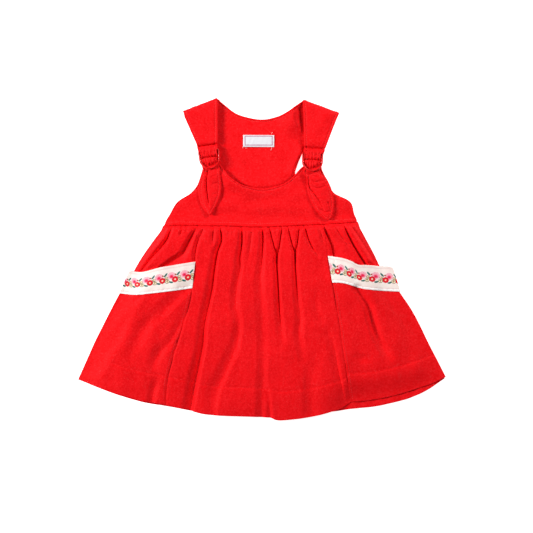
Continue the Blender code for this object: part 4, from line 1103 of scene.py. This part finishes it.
def bodice_height(x, y, away_in, away_out, arm, neck):
    """Middle of the bodice front where it lies on the back."""
    from_side = np.minimum(x - BODICE_LEFT, BODICE_RIGHT - x)
    from_waist = y - height_of(WAIST, x)
    z = FRONT_Z + WAIST_RISE * ease((100 - y) / 50) * ease(from_side / 15)
    swell = ease((from_waist - 11) / 16) * mix(0.6, 1, ease((away_in - 1) / 14))
    swell *= (1 - 0.7 * ease((y - 96) / 22)) * ease(from_side / 22)
    swell *= mix(1.0, ease((away_out - 1) / 14), arm)
    swell += 0.9 * (1 - ease((from_waist - 1) / 9)) * ease(from_side / 12)
    swell += NECK_LIFT * mix(1, 0.2, ease((x + 44) / 52)) * (1 - ease(away_in / 22)) * neck
    rough = ripples(x, y, 51, 26, 0.28, 0.7) * ease(away_in / 8) * ease(from_side / 8)
    rough -= 0.6 * crease(x, y, [(-1, 82), (0.5, 70), (-1, 57)], (0.4, 0.7, 0), 4, 4)
    side = mix(SIDE_Z - FRONT_Z + 0.1, 0, ease(from_side / 6)) * (1 - ease((y - 60) / 10))
    return z + swell + rough + side


def tail_height(side, x, y, crown):
    """Middle of a tail: puffed inside its rings, gathered under their bars and creased below them."""
    buckle = BUCKLES[side]
    turn, dx, dy = math.radians(buckle["turn"]), x - buckle["x"], y - buckle["y"]
    across = dx * math.cos(turn) + dy * math.sin(turn)
    below = dx * math.sin(turn) - dy * math.cos(turn)
    inside = RING_HALF - np.hypot(across, np.maximum(below - RING_SIDE, 0))
    z = TAIL_Z + 3.2 * ease((inside - 2.6) / 5) - 1.3 * ease((-inside - 2.6) / 25)
    z += 1.7 * crown * ease((-inside - 2.6) / 10)
    gather = np.sin(across * 2 * np.pi / 3.4 + 0.8 * np.sin(across)) * 0.5 * (1 - ease((below - 9) / 12))
    z += gather * ease((inside - 1.5) / 3)
    return z - creases(x, y, TAIL_CREASES[side]) * ease((-inside - 1) / 5)


def half_front(side):
    ear = [(in_buckle(side, -half, below, lift), in_buckle(side, half + more, below, lift))
           for (below, lift, half), more in zip(EAR_FOLD, [EAR_SPREAD[side]] + [0] * len(EAR_FOLD))]
    return level(TAIL_ROWS[side], 1.0) + ear[::-1] + level(BODICE_ROWS[side], 0.0)


def bodice_front():
    feet = [mix(WAIST[0][0], WAIST[-1][0], k / (MIDDLE_ROWS - 2)) for k in range(MIDDLE_ROWS - 1)]
    feet = [(x, height_of(WAIST, x) - 0.25) for x in feet]
    feet = [BODICE_SIDE["left"], *feet, BODICE_SIDE["right"]]
    middle = level(zip(along(NECK_FRONT, np.arange(MIDDLE_ROWS + 1) / MIDDLE_ROWS), feet), 0.0)
    left, right = half_front("left"), half_front("right")
    first, last = len(left), len(left) + MIDDLE_ROWS
    inner, outer, places = dense_rows(left + middle + right[::-1], (first + 1, last - 1))
    p, t, away_in, away_out = strip_grid(inner, outer, FRONT_COLUMNS)
    past = np.minimum(places - first, last - places)[:, None]
    arm, neck = ease((0.3 - past) / 1.2), ease((past + 4.6) / 1.5)
    x, y, lift = p[..., 0], p[..., 1], np.clip(p[..., 2], 0, 1)
    from_waist = y - height_of(WAIST, x)
    finish = edge_finish(away_in) + arm * edge_finish(away_out)
    waist = 0.35 * bell((from_waist - 2) / 1.6) - 0.55 * bell((from_waist - WAIST_STITCH) / 0.9)
    body = bodice_height(x, y, away_in, away_out, arm, neck) + (1 - arm) * waist
    tails = (tail_height(side, x, y, 4 * t * (1 - t)) for side in HANDS)
    tail = np.where((places < places[-1] / 2)[:, None], *tails)
    p = grid(x, y, mix(body + finish, tail + finish * 0.8, lift))
    return shell("bodice_front", [p], LINED), p, arm[:, 0] > 0.5


# Rings and label

def ring_line():
    """A D-ring's line, across and below: the bar, a corner, the arc and the other corner."""
    line = [(x, RING_TOP) for x in np.linspace(RING_CORNER - RING_HALF, RING_HALF - RING_CORNER, 8)]
    corner = [(RING_HALF - RING_CORNER * (1 - math.cos(a)), RING_TOP + RING_CORNER * (1 + math.sin(a)))
              for a in np.radians(range(-75, 1, 15))]
    line += corner
    line += [(RING_HALF * math.cos(a), RING_SIDE + RING_HALF * math.sin(a))
             for a in np.radians(range(0, 181, 5))]
    return line + [(-across, below) for across, below in corner[::-1]]


def dring(side, which):
    bar_z, arc_z = (REAR_Z, REAR_Z) if which == "rear" else (FRONT_BAR_Z, FRONT_ARC_Z)
    node, line = f"dring_{side}_{which}", ring_line()
    curve = bpy.data.curves.new(node + "_wire", "CURVE")
    curve.dimensions = "3D"
    curve.bevel_depth = WIRE * MM
    curve.bevel_resolution = 5
    path = curve.splines.new("POLY")
    path.points.add(len(line) - 1)
    path.use_cyclic_u = True
    for spot, (across, below) in zip(path.points, line):
        z = mix(bar_z, arc_z, (below - RING_TOP) / RING_LENGTH)
        spot.co = (*(Vector(in_buckle(side, across, below, z)) * MM), 1.0)
    draft = bpy.data.objects.new("draft", curve)
    bpy.context.scene.collection.objects.link(draft)
    mesh = bpy.data.meshes.new_from_object(draft.evaluated_get(bpy.context.evaluated_depsgraph_get()))
    bpy.data.objects.remove(draft)
    return add_piece(node + "_wire", mesh, RING_ENAMEL, node)


def label():
    u, v = rimmed(60, 42), rimmed(26, 17)[:, None]
    x = mix(LABEL["left"], LABEL["right"], u) + 0 * v
    y = mix(LABEL["top"], LABEL["foot"], v) + (x + 4.5) * math.sin(math.radians(LABEL["turn"]))
    z = BACK_Z + LINED + TAPE + 0.42 + 1.4 * u * (1 - u) * (4 * v * (1 - v)) ** 0.5
    p = grid(x, y, z + 0.10 * ripples(x, y, 61, 6, 1.0))
    return shell("label", [p], TAPE * 0.8, LABEL_SATIN, uvs=[p[..., :2] - (LABEL["left"], LABEL["foot"])])


LOOSE_ENDS = [
    [(12.5, 168), (13.5, 170.2), (14.4, 171.6)],
    [(14, 151.5), (12.8, 149.5), (12.2, 146.6)],
    [(-22.5, 151.2), (-21.8, 149.6), (-19.6, 150.2)],
    [(-25, 152.2), (-26.4, 150.4), (-25.2, 149.4)],
]


def loose_threads():
    """Short ends of thread at the label's corners."""
    verts, faces, count = [], [], 12
    for line in LOOSE_ENDS:
        p = along(line, np.linspace(0, 1, count))
        t = np.gradient(p, axis=0)
        t /= np.linalg.norm(t, axis=1, keepdims=True)
        ids, _, sides = tube_faces(len(verts), count)
        for k in range(count):
            middle = (*p[k], BACK_Z + LINED + 0.75 - 0.2 * k / count)
            size = 0.16 if 0 < k < count - 1 else 0.05
            verts += list(ring(middle, (-t[k, 1], t[k, 0], 0), (0, 0, 1), size))
        faces += sides + [ids[0].tolist(), ids[-1, ::-1].tolist()]
    return mesh_piece("label_threads", np.array(verts), faces, LABEL_THREAD)


# The dress

def edge_lines(p, own, column):
    """Lines of points and normals just inside an edge of a strip, on its upward side."""
    n = upward(p)
    rows = np.flatnonzero(own & (np.abs(n[:, column, 2]) > 0.5))
    runs = np.split(rows, np.flatnonzero(np.diff(rows) > 1) + 1)
    return [(p[run, column] + n[run, column] * LINED, n[run, column]) for run in runs if len(run) > 4]


def both_edges(p, own):
    """Those lines at the whole inner edge, and at the outer edge where it is the strip's own."""
    return edge_lines(p, True, STITCH_COLUMN) + edge_lines(p, own, -1 - STITCH_COLUMN)


def line_above(name, edge, rise, left, right, count):
    x = np.linspace(left, right, count)
    return on_top(name, x, height_of(edge, x) + rise)


front_skirt, back_skirt = skirt_front(), skirt_back()
side_pieces, pocket_pieces, ribbons, ribbon_grids = {}, {}, {}, {}
for hand in HANDS:
    side_pieces[hand], pocket_pieces[hand] = skirt_side(hand), pocket(hand)
    ribbons[hand], ribbon_grids[hand] = ribbon(hand)
    for place in ("rear", "front"):
        dring(hand, place)
back_bodice, back_grid, back_own = bodice_back()
front_bodice, front_grid, front_arm = bodice_front()
blank_label, label_ends = label(), loose_threads()

# Stitching
HEM_STITCHES = {"pitch": 6.0, "length": 1.2, "radius": 0.16}
BAND_THREAD = {"pitch": 2.6, "length": 2.0, "radius": 0.2}
stitch_back = sew("stitching_bodice_back", both_edges(back_grid, back_own), RED_THREAD)
waist_line = line_above("bodice_front_cloth", WAIST, WAIST_STITCH, -130, 126, 300)
stitch_front = sew("stitching_bodice_front", both_edges(front_grid, front_arm) + [waist_line], RED_THREAD)
hem_line = line_above("skirt_front_cloth", HEM_FRONT, HEM_DEPTH, -118, 108, 260)
stitch_hem = sew("stitching_hem", [hem_line], HEM_THREAD, **HEM_STITCHES)
stitch_pocket, stitch_ribbon = {}, {}
for hand in HANDS:
    name, hem = f"pocket_{hand}_cloth", HEMS[hand]
    seam_y = np.linspace(BAND_FOOT[hand][-1][1] - 2, -190, 220)
    seam_x = across_at(SEAMS[hand], seam_y) + BUCKLES[hand]["outer"] * STITCH_IN
    hem_line = line_above(name, hem, HEM_DEPTH, hem[0][0], hem[-1][0], 200)
    stitch_pocket[hand] = [
        sew(f"stitching_pocket_{hand}", [on_top(name, seam_x, seam_y)], RED_THREAD),
        sew(f"stitching_pocket_hem_{hand}", [hem_line], HEM_THREAD, **HEM_STITCHES),
    ]
    p = ribbon_grids[hand]
    n = upward(p)
    rows = [np.argmin(np.abs(lengths(p)[:, 50] - at)) for at in BAND_STITCHES]
    lines = [(p[k, 3:-3] + n[k, 3:-3] * TAPE, n[k, 3:-3]) for k in rows]
    stitch_ribbon[hand] = sew(f"stitching_ribbon_{hand}", lines, RIBBON_THREAD, **BAND_THREAD)

# Floor, light and camera
bpy.ops.mesh.primitive_plane_add(size=6, location=(0, 0, -0.0001))
floor = bpy.context.object
floor.name = "floor"
floor.data.materials.append(pale_floor())

world = bpy.data.worlds.new("studio")
bpy.context.scene.world = world
world.use_nodes = True
world.node_tree.nodes["Background"].inputs[0].default_value = (1, 1, 1, 1)
world.node_tree.nodes["Background"].inputs[1].default_value = 0.18


def softbox(name, place, aim, width, power):
    light = bpy.data.lights.new(name, "AREA")
    light.size = width
    light.energy = power
    light.spread = math.radians(60)
    lamp = bpy.data.objects.new(name, light)
    bpy.context.scene.collection.objects.link(lamp)
    lamp.location = place
    lamp.rotation_euler = (Vector(aim) - Vector(place)).to_track_quat("-Z", "Y").to_euler()


softbox("key", (-2.75, 0.65, 1.5), (0, 0.42, 0), 1.0, 16.1)
softbox("fill", (2.0, 2.1, 1.5), (0, 0.42, 0), 1.0, 9.75)

camera = bpy.data.cameras.new("camera")
camera.lens = 85
camera.sensor_width = 36
eye = bpy.data.objects.new("camera", camera)
bpy.context.scene.collection.objects.link(eye)
eye.location = (0.0061, -0.0101, 1.70)
bpy.context.scene.camera = eye
bpy.context.scene.view_settings.view_transform = "Standard"
